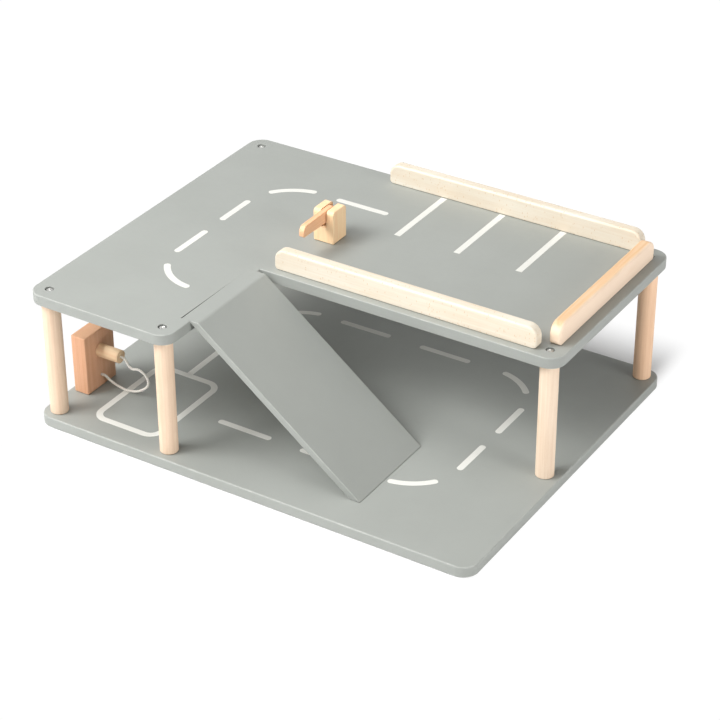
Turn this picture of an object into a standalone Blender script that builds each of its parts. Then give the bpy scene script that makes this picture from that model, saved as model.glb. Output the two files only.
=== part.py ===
"""Wooden toy garage: two painted decks on turned legs, with a ramp, rails, a boom gate and a charging post.

The frame is in metres, +Z up. The origin is the middle of the base's underside, +X runs along its
long side and +Y to its back. Pieces that touch keep a seating gap, so that no two solids share a face.
"""

import math

import bmesh
import bpy
from mathutils import Matrix, Vector

MM = 0.001

# Fits, and how far a cutter runs past the face that it cuts
SEAT_GAP = 0.3 * MM
BORE_CLEARANCE = 0.3 * MM
CUT_OVER = 1 * MM
EDGE_ANGLE = math.radians(40)

# Decks
BOARD_LENGTH = 430 * MM
BOARD_DEPTH = 343 * MM
BASE_THICKNESS = 10 * MM
DECK_THICKNESS = 10 * MM
BOARD_CORNER_RADIUS = 14 * MM
NOTCH_CORNER_RADIUS = 0.8 * MM
BOARD_ARRIS = 1.1 * MM
LEFT_WING_WIDTH = 145 * MM
RIGHT_WING_DEPTH = 208.6 * MM

# Legs
LEG_HEIGHT = 111 * MM
LEG_DIAMETER = 16 * MM
LEG_INSET = 14 * MM
LEG_ARRIS = 0.7 * MM
LEG_SIDES = 28

# Screws that hold the legs, one from above and one from below
DECK_SCREW_DIAMETER = 4 * MM
DECK_SCREW_LENGTH = 28 * MM
DECK_SCREW_HEAD_DIAMETER = 7.1 * MM
DECK_SCREW_HEAD_HEIGHT = 2.2 * MM
DECK_SCREW_HEAD_ARRIS = 0.5 * MM
DECK_SCREW_SUNK = 0.9 * MM
DECK_SCREW_CROSS_WIDTH = 1.1 * MM
DECK_SCREW_CROSS_SPAN = 4.4 * MM
DECK_SCREW_CROSS_DEPTH = 1.2 * MM

# Countersunk screws that hold the rails, post, ramp and block from underneath
SMALL_SCREW_DIAMETER = 3 * MM
SMALL_SCREW_HEAD_DIAMETER = 6 * MM
SMALL_SCREW_RIM = 0.3 * MM
SMALL_SCREW_SUNK = 0.4 * MM
SMALL_SCREW_CROSS_WIDTH = 0.9 * MM
SMALL_SCREW_CROSS_SPAN = 3.4 * MM
SMALL_SCREW_CROSS_DEPTH = 0.9 * MM
RAIL_SCREW_LENGTH = 20 * MM
POST_SCREW_LENGTH = 20 * MM
RAMP_SCREW_LENGTH = 13 * MM
BLOCK_SCREW_LENGTH = 25 * MM
SCREW_SIDES = 16
SCREW_TIP = 2.5 * MM

# Rails on the upper deck
RAIL_HEIGHT = 19 * MM
RAIL_THICKNESS = 10 * MM
RAIL_END_RADIUS = 10 * MM
RAIL_FOOT_RADIUS = 3.5 * MM
RAIL_ARRIS = 2 * MM
BACK_RAIL_INSET = 4.7 * MM
FRONT_RAIL_INSET = 7.1 * MM
SIDE_RAIL_INSET = 9.2 * MM
LONG_RAIL_FROM_WING = 10 * MM
LONG_RAIL_TO_SIDE_RAIL = 4 * MM
SIDE_RAIL_FROM_NOTCH = 21 * MM
SIDE_RAIL_TO_BACK_RAIL = 1.8 * MM
RAIL_SCREW_INSET = 32 * MM
LONG_RAIL_SCREWS = 3
SIDE_RAIL_SCREWS = 2

# Ramp, a board with a thin level lip at its top and its foot cut level
RAMP_THICKNESS = 6 * MM
RAMP_WIDTH = 97 * MM
RAMP_FROM_NOTCH = 4.4 * MM
RAMP_REACH = 163.6 * MM
RAMP_SEAT_DEPTH = 8.2 * MM
RAMP_LIP_LENGTH = 16.2 * MM
RAMP_LIP_THICKNESS = 2 * MM
RAMP_SIDE_CLEARANCE = 0.4 * MM
RAMP_ARRIS = 0.5 * MM
RAMP_SCREW_INSET = 24 * MM
RAMP_SCREW_FROM_TIP = 7.4 * MM

# Boom gate, a forked post with a swinging arm
POST_WIDTH = 20.4 * MM
POST_DEPTH = 21 * MM
POST_HEIGHT = 31 * MM
POST_FROM_WING = 20.3 * MM
POST_FROM_NOTCH = 78.1 * MM
POST_TOP_RADIUS = 3.5 * MM
POST_ARRIS = 1.1 * MM
FORK_WIDTH = 6.6 * MM
FORK_FLOOR = 15 * MM
ARM_THICKNESS = 5 * MM
ARM_HEIGHT = 11.6 * MM
ARM_TIP_RISE = 1.2 * MM
ARM_REACH = 44.5 * MM
ARM_NOSE_RADIUS = 6 * MM
ARM_CHIN_RADIUS = 1.8 * MM
ARM_HEEL_FLAT = 0.2 * MM
ARM_ARRIS = 0.5 * MM
PIN_HEIGHT = 25 * MM
PIN_DIAMETER = 3 * MM
PIN_ARRIS = 0.3 * MM
PIN_END_WALL = 3 * MM
PIN_SUNK = 0.5 * MM
PIN_SIDES = 12

# Charging post, a block with a plug on a cord
BLOCK_WIDTH = 15 * MM
BLOCK_DEPTH = 40 * MM
BLOCK_HEIGHT = 57 * MM
BLOCK_INSET = 5.7 * MM
BLOCK_FROM_FRONT = 65.5 * MM
BLOCK_ARRIS = 0.9 * MM
BLOCK_SCREW_SPACING = 22 * MM
SOCKET_DEPTH = 8.5 * MM
SOCKET_HEIGHT = 36.6 * MM
PLUG_DIAMETER = 12 * MM
PLUG_GRIP = 22.8 * MM
PLUG_ARRIS = 0.6 * MM
PLUG_SIDES = 24
CORD_DIAMETER = 2.4 * MM
CORD_BORE_DEPTH = 3.5 * MM
CORD_HOLE_HEIGHT = 11.6 * MM
CORD_STRAIGHT = 1.7 * MM
CORD_STEP = 4.4 * MM

# Route of the cord between its straight ends, from the plug to the block: out from the block's
# face, back from the block's middle and up from the base's top
CORD_ROUTE = (
    (26.0 * MM, 0.0 * MM, 36.2 * MM),
    (27.3 * MM, 0.1 * MM, 35.1 * MM),
    (28.5 * MM, 0.1 * MM, 33.3 * MM),
    (29.8 * MM, 0.2 * MM, 31.2 * MM),
    (31.2 * MM, 0.3 * MM, 29.3 * MM),
    (33.0 * MM, 0.4 * MM, 28.1 * MM),
    (35.1 * MM, 0.5 * MM, 27.8 * MM),
    (37.7 * MM, 0.7 * MM, 28.5 * MM),
    (40.5 * MM, 0.9 * MM, 28.8 * MM),
    (43.3 * MM, 1.1 * MM, 27.8 * MM),
    (46.3 * MM, 1.6 * MM, 25.5 * MM),
    (48.7 * MM, 2.0 * MM, 22.0 * MM),
    (49.4 * MM, 2.4 * MM, 17.8 * MM),
    (47.6 * MM, 2.7 * MM, 13.0 * MM),
    (43.2 * MM, 3.0 * MM, 8.4 * MM),
    (37.1 * MM, 3.1 * MM, 4.5 * MM),
    (30.7 * MM, 3.0 * MM, 2.3 * MM),
    (24.0 * MM, 2.7 * MM, 1.6 * MM),
    (17.6 * MM, 2.6 * MM, 2.5 * MM),
    (12.4 * MM, 2.5 * MM, 4.0 * MM),
    (8.6 * MM, 2.2 * MM, 5.8 * MM),
    (6.2 * MM, 1.6 * MM, 7.9 * MM),
    (4.8 * MM, 1.0 * MM, 9.8 * MM),
    (3.4 * MM, 0.4 * MM, 11.1 * MM),
)

# Colours, roughness and metallic value of each stuff
GREY_PAINT = ((0.42, 0.44, 0.42), 0.55, 0.0)
PALE_BEECH = ((0.90, 0.74, 0.55), 0.60, 0.0)
CREAM_BEECH = ((0.94, 0.84, 0.70), 0.60, 0.0)
RED_BEECH = ((0.72, 0.44, 0.27), 0.60, 0.0)
WARM_BEECH = ((0.86, 0.58, 0.38), 0.60, 0.0)
STEEL = ((0.68, 0.68, 0.68), 0.30, 1.0)
COTTON = ((0.88, 0.86, 0.80), 0.90, 0.0)

# Places that follow from the sizes above
LEFT = -BOARD_LENGTH / 2
RIGHT = BOARD_LENGTH / 2
FRONT = -BOARD_DEPTH / 2
BACK = BOARD_DEPTH / 2
DECK_BOTTOM = BASE_THICKNESS + LEG_HEIGHT
DECK_TOP = DECK_BOTTOM + DECK_THICKNESS
WING_EDGE = LEFT + LEFT_WING_WIDTH
NOTCH_EDGE = BACK - RIGHT_WING_DEPTH
DECK_BORE_DEPTH = DECK_SCREW_SUNK + DECK_SCREW_HEAD_HEIGHT + SEAT_GAP
LEG_PLACES = {
    "front_left": (LEFT + LEG_INSET, FRONT + LEG_INSET),
    "front_middle": (WING_EDGE - LEG_INSET, FRONT + LEG_INSET),
    "front_right": (RIGHT - LEG_INSET, NOTCH_EDGE + LEG_INSET),
    "back_right": (RIGHT - LEG_INSET, BACK - LEG_INSET),
    "back_left": (LEFT + LEG_INSET, BACK - LEG_INSET),
}
BACK_RAIL_Y = BACK - BACK_RAIL_INSET - RAIL_THICKNESS / 2
FRONT_RAIL_Y = NOTCH_EDGE + FRONT_RAIL_INSET + RAIL_THICKNESS / 2
SIDE_RAIL_X = RIGHT - SIDE_RAIL_INSET - RAIL_THICKNESS / 2
LONG_RAIL_START = WING_EDGE + LONG_RAIL_FROM_WING
LONG_RAIL_END = SIDE_RAIL_X - RAIL_THICKNESS / 2 - LONG_RAIL_TO_SIDE_RAIL
SIDE_RAIL_START = NOTCH_EDGE + SIDE_RAIL_FROM_NOTCH
SIDE_RAIL_END = BACK_RAIL_Y - RAIL_THICKNESS / 2 - SIDE_RAIL_TO_BACK_RAIL
RAMP_FOOT_Z = BASE_THICKNESS + SEAT_GAP
RAMP_TIP_X = WING_EDGE - RAMP_SEAT_DEPTH
RAMP_CREASE_X = RAMP_TIP_X + RAMP_LIP_LENGTH
RAMP_FOOT_X = WING_EDGE + RAMP_REACH
RAMP_Y = NOTCH_EDGE - RAMP_FROM_NOTCH - RAMP_WIDTH / 2
POST_X = WING_EDGE + POST_FROM_WING
POST_Y = NOTCH_EDGE + POST_FROM_NOTCH
POST_BOTTOM = DECK_TOP + SEAT_GAP
PIN_Z = DECK_TOP + PIN_HEIGHT
BLOCK_X = LEFT + BLOCK_INSET + BLOCK_WIDTH / 2
BLOCK_Y = FRONT + BLOCK_FROM_FRONT
BLOCK_FACE_X = BLOCK_X + BLOCK_WIDTH / 2
BLOCK_BOTTOM = BASE_THICKNESS + SEAT_GAP
SOCKET_Z = BASE_THICKNESS + SOCKET_HEIGHT
CORD_HOLE_Z = BASE_THICKNESS + CORD_HOLE_HEIGHT

# Turns that stand a flat outline up across Y or across X, and lay a turned piece along X
ACROSS_Y = (math.radians(90), 0, 0)
ACROSS_X = (math.radians(90), 0, math.radians(90))
ALONG_X = (0, math.radians(90), 0)
UPSIDE_DOWN = (math.radians(180), 0, 0)


def clear_scene():
    """Remove every object that the scene holds."""
    for obj in list(bpy.data.objects):
        bpy.data.objects.remove(obj, do_unlink=True)


def new_collection(name):
    """Make a collection in the scene."""
    collection = bpy.data.collections.new(name)
    bpy.context.scene.collection.children.link(collection)
    return collection


def as_guide(obj):
    """Show an object as a wire only, for a cutter or a pattern piece."""
    obj.hide_render = True
    obj.display_type = "WIRE"
    return obj


def paint(obj, stuff):
    """Give an object its own material."""
    colour, roughness, metallic = stuff
    material = bpy.data.materials.new(obj.name)
    material.use_nodes = True
    shader = material.node_tree.nodes["Principled BSDF"]
    shader.inputs["Base Color"].default_value = (*colour, 1.0)
    shader.inputs["Roughness"].default_value = roughness
    shader.inputs["Metallic"].default_value = metallic
    obj.data.materials.clear()
    obj.data.materials.append(material)
    return obj


def place(obj, location=(0, 0, 0), rotation=(0, 0, 0)):
    """Set where an object stands and how it is turned."""
    obj.location = location
    obj.rotation_euler = rotation
    return obj


def evaluated_mesh(obj):
    """Mesh of an object with its modifiers, with loose caps welded and faces pointing out."""
    bpy.context.view_layer.update()
    depsgraph = bpy.context.evaluated_depsgraph_get()
    mesh = bpy.data.meshes.new_from_object(obj.evaluated_get(depsgraph))
    shape = bmesh.new()
    shape.from_mesh(mesh)
    bmesh.ops.remove_doubles(shape, verts=shape.verts, dist=0.01 * MM)
    bmesh.ops.recalc_face_normals(shape, faces=shape.faces)
    shape.to_mesh(mesh)
    shape.free()
    return mesh


def fillet(before, corner, after, radius, steps):
    """Points of the arc that rounds one corner of an outline."""
    to_before = (before - corner).normalized()
    to_after = (after - corner).normalized()
    half_angle = to_before.angle(to_after) / 2
    centre = corner + (to_before + to_after).normalized() * radius / math.sin(half_angle)
    start = corner + to_before * radius / math.tan(half_angle) - centre
    sweep = start.angle_signed(corner + to_after * radius / math.tan(half_angle) - centre)
    arc = []
    for step in range(steps + 1):
        turn = Matrix.Rotation(-sweep * step / steps, 2)
        arc.append(centre + turn @ start)
    return arc


def rounded_outline(corners, steps=6):
    """Closed outline through corners, each given as its x, its y and its radius."""
    points = []
    for index, (x, y, radius) in enumerate(corners):
        corner = Vector((x, y))
        if radius == 0:
            points.append(corner)
            continue
        before = Vector(corners[index - 1][:2])
        after = Vector(corners[(index + 1) % len(corners)][:2])
        points.extend(fillet(before, corner, after, radius, steps))
    return points


def plate(name, outline, thickness, collection):
    """Flat plate of an outline in its own XY plane, with its thickness shared above and below."""
    curve = bpy.data.curves.new(name, "CURVE")
    curve.dimensions = "2D"
    curve.fill_mode = "BOTH"
    curve.extrude = thickness / 2
    spline = curve.splines.new("POLY")
    spline.points.add(len(outline) - 1)
    for point, (x, y) in zip(spline.points, outline):
        point.co = (x, y, 0, 1)
    spline.use_cyclic_u = True
    drawn = bpy.data.objects.new(name + "_outline", curve)
    collection.objects.link(drawn)
    mesh = evaluated_mesh(drawn)
    bpy.data.objects.remove(drawn, do_unlink=True)
    obj = bpy.data.objects.new(name, mesh)
    collection.objects.link(obj)
    return obj


def block(name, size, collection):
    """Box of a size, centred on its origin."""
    mesh = bpy.data.meshes.new(name)
    shape = bmesh.new()
    bmesh.ops.create_cube(shape, size=1, matrix=Matrix.Diagonal((*size, 1)))
    shape.to_mesh(mesh)
    shape.free()
    obj = bpy.data.objects.new(name, mesh)
    collection.objects.link(obj)
    return obj


def turned(name, profile, sides, collection):
    """Round piece turned about Z from a profile of (radius, height), top to bottom."""
    mesh = bpy.data.meshes.new(name)
    points = [(radius, 0, height) for radius, height in profile]
    edges = [(index, index + 1) for index in range(len(points) - 1)]
    mesh.from_pydata(points, edges, [])
    obj = bpy.data.objects.new(name, mesh)
    collection.objects.link(obj)
    screw = obj.modifiers.new("Turn", "SCREW")
    screw.axis = "Z"
    screw.angle = math.radians(360)
    screw.steps = sides
    screw.render_steps = sides
    screw.use_merge_vertices = True
    screw.merge_threshold = 0.01 * MM
    screw.use_smooth_shade = False
    return obj


def ease_edges(obj, width, segments=2):
    """Round over the sharp edges of a piece."""
    bevel = obj.modifiers.new("Eased edges", "BEVEL")
    bevel.width = width
    bevel.segments = segments
    bevel.limit_method = "ANGLE"
    bevel.angle_limit = EDGE_ANGLE
    return obj


def cut(obj, cutters):
    """Cut several guides out of a piece in one Boolean."""
    tools = bpy.data.collections.new(obj.name + "_cutters")
    GUIDES.children.link(tools)
    for cutter in cutters:
        as_guide(cutter)
        GUIDES.objects.unlink(cutter)
        tools.objects.link(cutter)
    boolean = obj.modifiers.new("Cuts", "BOOLEAN")
    boolean.operation = "DIFFERENCE"
    boolean.solver = "EXACT"
    boolean.operand_type = "COLLECTION"
    boolean.collection = tools
    return obj


def copies(pattern, places, stuff, rotation=(0, 0, 0)):
    """Copies of a pattern piece that share its mesh, one object for each named place."""
    mesh = evaluated_mesh(pattern)
    for name, location in places.items():
        obj = bpy.data.objects.new(name, mesh)
        PARTS.objects.link(obj)
        place(obj, location, rotation)
    mesh.name = pattern.name
    return paint(obj, stuff)


def spread(start, end, inset, count):
    """Even positions between two ends, the outer ones a given inset from them."""
    first = start + inset
    step = (end - inset - first) / (count - 1)
    return [first + step * index for index in range(count)]


# Screws and their bores

def cross_cutter(name, width, span, depth, top):
    """Cross-shaped cutter for a screw head, from its top down."""
    arm = span / 2
    half = width / 2
    outline = []
    for quarter in range(4):
        turn = Matrix.Rotation(math.radians(90) * quarter, 2)
        for corner in ((arm, -half), (arm, half), (half, half)):
            outline.append(turn @ Vector(corner))
    cutter = plate(name, outline, 2 * depth, GUIDES)
    return place(cutter, (0, 0, top))


def deck_screw_pattern():
    """Cylinder-head screw with its origin under its head, pointing down."""
    radius = DECK_SCREW_DIAMETER / 2
    head = DECK_SCREW_HEAD_DIAMETER / 2
    top = DECK_SCREW_HEAD_HEIGHT
    profile = (
        (0, top),
        (head - DECK_SCREW_HEAD_ARRIS, top),
        (head, top - DECK_SCREW_HEAD_ARRIS),
        (head, 0),
        (radius, 0),
        (radius, SCREW_TIP - DECK_SCREW_LENGTH),
        (0, -DECK_SCREW_LENGTH),
    )
    screw = as_guide(turned("deck_screw_pattern", profile, SCREW_SIDES, GUIDES))
    cross = cross_cutter(
        "deck_screw_cross", DECK_SCREW_CROSS_WIDTH, DECK_SCREW_CROSS_SPAN, DECK_SCREW_CROSS_DEPTH, top
    )
    return cut(screw, [cross])


def small_screw_pattern(name, length):
    """Countersunk screw with its origin in the middle of its flat head, pointing down."""
    radius = SMALL_SCREW_DIAMETER / 2
    head = SMALL_SCREW_HEAD_DIAMETER / 2
    profile = (
        (0, 0),
        (head, 0),
        (head, -SMALL_SCREW_RIM),
        (radius, -SMALL_SCREW_RIM - head + radius),
        (radius, SCREW_TIP - length),
        (0, -length),
    )
    screw = as_guide(turned(name, profile, SCREW_SIDES, GUIDES))
    cross = cross_cutter(
        name + "_cross", SMALL_SCREW_CROSS_WIDTH, SMALL_SCREW_CROSS_SPAN, SMALL_SCREW_CROSS_DEPTH, 0
    )
    return cut(screw, [cross])


def stepped_bore(name, depth):
    """Cutter for a deck screw: a round recess for its head and a hole through a board of a depth.

    Its origin is on the board's face at the head's side, and it points down.
    """
    head = DECK_SCREW_HEAD_DIAMETER / 2 + BORE_CLEARANCE
    hole = DECK_SCREW_DIAMETER / 2 + BORE_CLEARANCE
    profile = (
        (0, CUT_OVER),
        (head, CUT_OVER),
        (head, -DECK_BORE_DEPTH),
        (hole, -DECK_BORE_DEPTH),
        (hole, -depth - CUT_OVER),
        (0, -depth - CUT_OVER),
    )
    return turned(name, profile, SCREW_SIDES, GUIDES)


def countersunk_bore(name, depth):
    """Cutter for a small screw: a countersink and a hole through a board of a depth.

    Its origin is on the board's face at the head's side, and it points down.
    """
    head = SMALL_SCREW_HEAD_DIAMETER / 2 + BORE_CLEARANCE
    hole = SMALL_SCREW_DIAMETER / 2 + BORE_CLEARANCE
    floor = SMALL_SCREW_SUNK + SMALL_SCREW_RIM + SEAT_GAP
    profile = (
        (0, CUT_OVER),
        (head, CUT_OVER),
        (head, -floor),
        (hole, -floor - head + hole),
        (hole, -depth - CUT_OVER),
        (0, -depth - CUT_OVER),
    )
    return turned(name, profile, SCREW_SIDES, GUIDES)


def bore_in_face(name, radius, depth, sides):
    """Cutter for a blind round hole in a face, with its origin on the face, pointing down."""
    profile = ((0, CUT_OVER), (radius, CUT_OVER), (radius, -depth), (0, -depth))
    return turned(name, profile, sides, GUIDES)


def pilot_bore(name, depth):
    """Cutter for the blind hole that a small screw runs into."""
    return bore_in_face(name, SMALL_SCREW_DIAMETER / 2 + BORE_CLEARANCE, depth, SCREW_SIDES)


def small_screw_reach(length, thickness):
    """Depth that a small screw reaches into the piece that it holds through a board."""
    return length + SMALL_SCREW_SUNK - thickness + SEAT_GAP


def small_screws(name, length, points, face_z):
    """Small screws driven up from a board's underside at points."""
    places = {}
    for index, (x, y) in enumerate(points):
        numbered = "%s_%d" % (name, index + 1)
        places[numbered if len(points) > 1 else name] = (x, y, face_z + SMALL_SCREW_SUNK)
    copies(small_screw_pattern(name + "_pattern", length), places, STEEL, UPSIDE_DOWN)


def rail_screw_points():
    """Places of the screws that hold the three rails."""
    points = []
    for x in spread(LONG_RAIL_START, LONG_RAIL_END, RAIL_SCREW_INSET, LONG_RAIL_SCREWS):
        points.append((x, BACK_RAIL_Y))
        points.append((x, FRONT_RAIL_Y))
    for y in spread(SIDE_RAIL_START, SIDE_RAIL_END, RAIL_SCREW_INSET, SIDE_RAIL_SCREWS):
        points.append((SIDE_RAIL_X, y))
    return points


def ramp_screw_points():
    """Places of the screws that hold the ramp's foot."""
    ends = (RAMP_Y - RAMP_WIDTH / 2, RAMP_Y + RAMP_WIDTH / 2)
    x = RAMP_FOOT_X - RAMP_SCREW_FROM_TIP
    return [(x, y) for y in spread(*ends, RAMP_SCREW_INSET, 2)]


def block_screw_points():
    """Places of the screws that hold the charging block."""
    half = BLOCK_SCREW_SPACING / 2
    return [(BLOCK_X, BLOCK_Y - half), (BLOCK_X, BLOCK_Y + half)]


# Decks

def bores(stem, maker, depth, points, z, rotation=(0, 0, 0)):
    """Cutters of one kind at every point of a face."""
    cutters = []
    for index, (x, y) in enumerate(points):
        cutters.append(place(maker("%s_%d" % (stem, index), depth), (x, y, z), rotation))
    return cutters


def base_deck():
    """Rectangular lower board with its screw holes from below."""
    radius = BOARD_CORNER_RADIUS
    outline = rounded_outline(
        ((LEFT, FRONT, radius), (RIGHT, FRONT, radius), (RIGHT, BACK, radius), (LEFT, BACK, radius))
    )
    board = plate("base_deck", outline, BASE_THICKNESS, PARTS)
    place(board, (0, 0, BASE_THICKNESS / 2))
    ease_edges(board, BOARD_ARRIS)
    small = ramp_screw_points() + block_screw_points()
    cutters = bores("base_bore", stepped_bore, BASE_THICKNESS, LEG_PLACES.values(), 0, UPSIDE_DOWN)
    cutters += bores("base_sink", countersunk_bore, BASE_THICKNESS, small, 0, UPSIDE_DOWN)
    return paint(cut(board, cutters), GREY_PAINT)


def ramp_angle():
    """Slope of the ramp from the crease behind its lip to its foot."""
    return math.atan2(DECK_TOP - RAMP_FOOT_Z, RAMP_FOOT_X - RAMP_CREASE_X)


def ramp_seat_cutter():
    """Shallow rebate in the wing's edge for the ramp's lip."""
    floor = DECK_TOP - RAMP_LIP_THICKNESS - SEAT_GAP
    back = RAMP_TIP_X - SEAT_GAP
    length = WING_EDGE + CUT_OVER - back
    height = DECK_TOP + CUT_OVER - floor
    rebate = block("ramp_seat", (length, RAMP_WIDTH + 2 * RAMP_SIDE_CLEARANCE, height), GUIDES)
    return place(rebate, (back + length / 2, RAMP_Y, floor + height / 2))


def upper_deck():
    """L-shaped upper board with recessed screw holes and a rebate for the ramp's lip."""
    radius = BOARD_CORNER_RADIUS
    outline = rounded_outline(
        (
            (LEFT, FRONT, radius),
            (WING_EDGE, FRONT, radius),
            (WING_EDGE, NOTCH_EDGE, NOTCH_CORNER_RADIUS),
            (RIGHT, NOTCH_EDGE, radius),
            (RIGHT, BACK, radius),
            (LEFT, BACK, radius),
        )
    )
    board = plate("upper_deck", outline, DECK_THICKNESS, PARTS)
    place(board, (0, 0, DECK_BOTTOM + DECK_THICKNESS / 2))
    ease_edges(board, BOARD_ARRIS)
    small = rail_screw_points() + [(POST_X, POST_Y)]
    cutters = bores("deck_bore", stepped_bore, DECK_THICKNESS, LEG_PLACES.values(), DECK_TOP)
    cutters += bores("deck_sink", countersunk_bore, DECK_THICKNESS, small, DECK_BOTTOM, UPSIDE_DOWN)
    cutters.append(ramp_seat_cutter())
    return paint(cut(board, cutters), GREY_PAINT)


# Legs

def legs():
    """Turned legs, each with a pilot hole in both ends."""
    height = LEG_HEIGHT - 2 * SEAT_GAP
    radius = LEG_DIAMETER / 2
    hole = DECK_SCREW_DIAMETER / 2 + BORE_CLEARANCE
    reach = DECK_SCREW_LENGTH + DECK_BORE_DEPTH + SEAT_GAP
    top_depth = reach - DECK_THICKNESS
    bottom_depth = reach - BASE_THICKNESS
    profile = (
        (0, height - top_depth),
        (hole, height - top_depth),
        (hole, height),
        (radius - LEG_ARRIS, height),
        (radius, height - LEG_ARRIS),
        (radius, LEG_ARRIS),
        (radius - LEG_ARRIS, 0),
        (hole, 0),
        (hole, bottom_depth),
        (0, bottom_depth),
    )
    for corner, (x, y) in LEG_PLACES.items():
        leg = turned("leg_" + corner, profile, LEG_SIDES, PARTS)
        place(leg, (x, y, BASE_THICKNESS + SEAT_GAP))
        paint(leg, PALE_BEECH)


def leg_screws():
    """Screws down through the upper deck and up through the base, into the legs."""
    pattern = deck_screw_pattern()
    head_depth = DECK_BORE_DEPTH - SEAT_GAP
    above = {"deck_screw_" + name: (x, y, DECK_TOP - head_depth) for name, (x, y) in LEG_PLACES.items()}
    below = {"base_screw_" + name: (x, y, head_depth) for name, (x, y) in LEG_PLACES.items()}
    copies(pattern, above, STEEL)
    copies(pattern, below, STEEL, UPSIDE_DOWN)


# Rails

def rail(name, length, location, rotation, screw_offsets):
    """Rail with two round upper corners, standing on the upper deck."""
    half = length / 2
    outline = rounded_outline(
        (
            (-half, 0, RAIL_FOOT_RADIUS),
            (half, 0, RAIL_FOOT_RADIUS),
            (half, RAIL_HEIGHT, RAIL_END_RADIUS),
            (-half, RAIL_HEIGHT, RAIL_END_RADIUS),
        )
    )
    obj = plate(name, outline, RAIL_THICKNESS, PARTS)
    place(obj, location, rotation)
    ease_edges(obj, RAIL_ARRIS)
    depth = small_screw_reach(RAIL_SCREW_LENGTH, DECK_THICKNESS)
    along = obj.matrix_basis.to_3x3() @ Vector((1, 0, 0))
    cutters = []
    for index, offset in enumerate(screw_offsets):
        bore = pilot_bore("%s_bore_%d" % (name, index), depth)
        cutters.append(place(bore, Vector(location) + along * offset, UPSIDE_DOWN))
    return paint(cut(obj, cutters), CREAM_BEECH)


def rails():
    """Back, front and side rails of the parking deck."""
    z = DECK_TOP + SEAT_GAP
    length = LONG_RAIL_END - LONG_RAIL_START
    middle = (LONG_RAIL_START + LONG_RAIL_END) / 2
    offsets = spread(-length / 2, length / 2, RAIL_SCREW_INSET, LONG_RAIL_SCREWS)
    rail("back_rail", length, (middle, BACK_RAIL_Y, z), ACROSS_Y, offsets)
    rail("front_rail", length, (middle, FRONT_RAIL_Y, z), ACROSS_Y, offsets)
    side_length = SIDE_RAIL_END - SIDE_RAIL_START
    side_middle = (SIDE_RAIL_START + SIDE_RAIL_END) / 2
    side_offsets = spread(-side_length / 2, side_length / 2, RAIL_SCREW_INSET, SIDE_RAIL_SCREWS)
    rail("side_rail", side_length, (SIDE_RAIL_X, side_middle, z), ACROSS_X, side_offsets)
    small_screws("rail_screw", RAIL_SCREW_LENGTH, rail_screw_points(), DECK_BOTTOM)


# Ramp

def ramp():
    """Sloping board with a thin level lip in the wing's rebate and a level foot on the base."""
    slope = ramp_angle()
    level = RAMP_THICKNESS / math.sin(slope)
    lip_bottom = DECK_TOP - RAMP_LIP_THICKNESS
    knee = RAMP_CREASE_X - level + RAMP_LIP_THICKNESS / math.tan(slope)
    outline = rounded_outline(
        (
            (RAMP_TIP_X, DECK_TOP, 0),
            (RAMP_TIP_X, lip_bottom, 0),
            (knee, lip_bottom, 0),
            (RAMP_FOOT_X - level, RAMP_FOOT_Z, 0),
            (RAMP_FOOT_X, RAMP_FOOT_Z, 0),
            (RAMP_CREASE_X, DECK_TOP, 0),
        )
    )
    board = plate("ramp", outline, RAMP_WIDTH, PARTS)
    place(board, (0, RAMP_Y, 0), ACROSS_Y)
    ease_edges(board, RAMP_ARRIS, 1)
    depth = small_screw_reach(RAMP_SCREW_LENGTH, BASE_THICKNESS)
    cutters = bores("ramp_bore", pilot_bore, depth, ramp_screw_points(), RAMP_FOOT_Z, UPSIDE_DOWN)
    small_screws("ramp_screw", RAMP_SCREW_LENGTH, ramp_screw_points(), 0)
    return paint(cut(board, cutters), GREY_PAINT)


# Boom gate

def boom_post():
    """Forked post with a bore for the pin, blind in the right-hand cheek."""
    half = POST_DEPTH / 2
    outline = rounded_outline(
        (
            (-half, 0, 0),
            (half, 0, 0),
            (half, POST_HEIGHT - SEAT_GAP, POST_TOP_RADIUS),
            (-half, POST_HEIGHT - SEAT_GAP, POST_TOP_RADIUS),
        ),
        steps=4,
    )
    post = plate("boom_post", outline, POST_WIDTH, PARTS)
    place(post, (POST_X, POST_Y, POST_BOTTOM), ACROSS_X)
    ease_edges(post, POST_ARRIS)
    fork_height = 2 * (POST_HEIGHT - FORK_FLOOR)
    fork = block("boom_fork", (FORK_WIDTH, 2 * POST_DEPTH, fork_height), GUIDES)
    place(fork, (POST_X, POST_Y, DECK_TOP + FORK_FLOOR + fork_height / 2))
    pin_hole = PIN_DIAMETER / 2 + BORE_CLEARANCE
    end = POST_WIDTH / 2 - PIN_END_WALL
    start = -POST_WIDTH
    profile = ((0, end), (pin_hole, end), (pin_hole, start), (0, start))
    pin_bore = turned("boom_pin_bore", profile, PIN_SIDES, GUIDES)
    place(pin_bore, (POST_X, POST_Y, PIN_Z), ALONG_X)
    depth = small_screw_reach(POST_SCREW_LENGTH, DECK_THICKNESS)
    cutters = bores("post_bore", pilot_bore, depth, [(POST_X, POST_Y)], POST_BOTTOM, UPSIDE_DOWN)
    small_screws("boom_post_screw", POST_SCREW_LENGTH, [(POST_X, POST_Y)], DECK_BOTTOM)
    return paint(cut(post, cutters + [fork, pin_bore]), WARM_BEECH)


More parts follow.
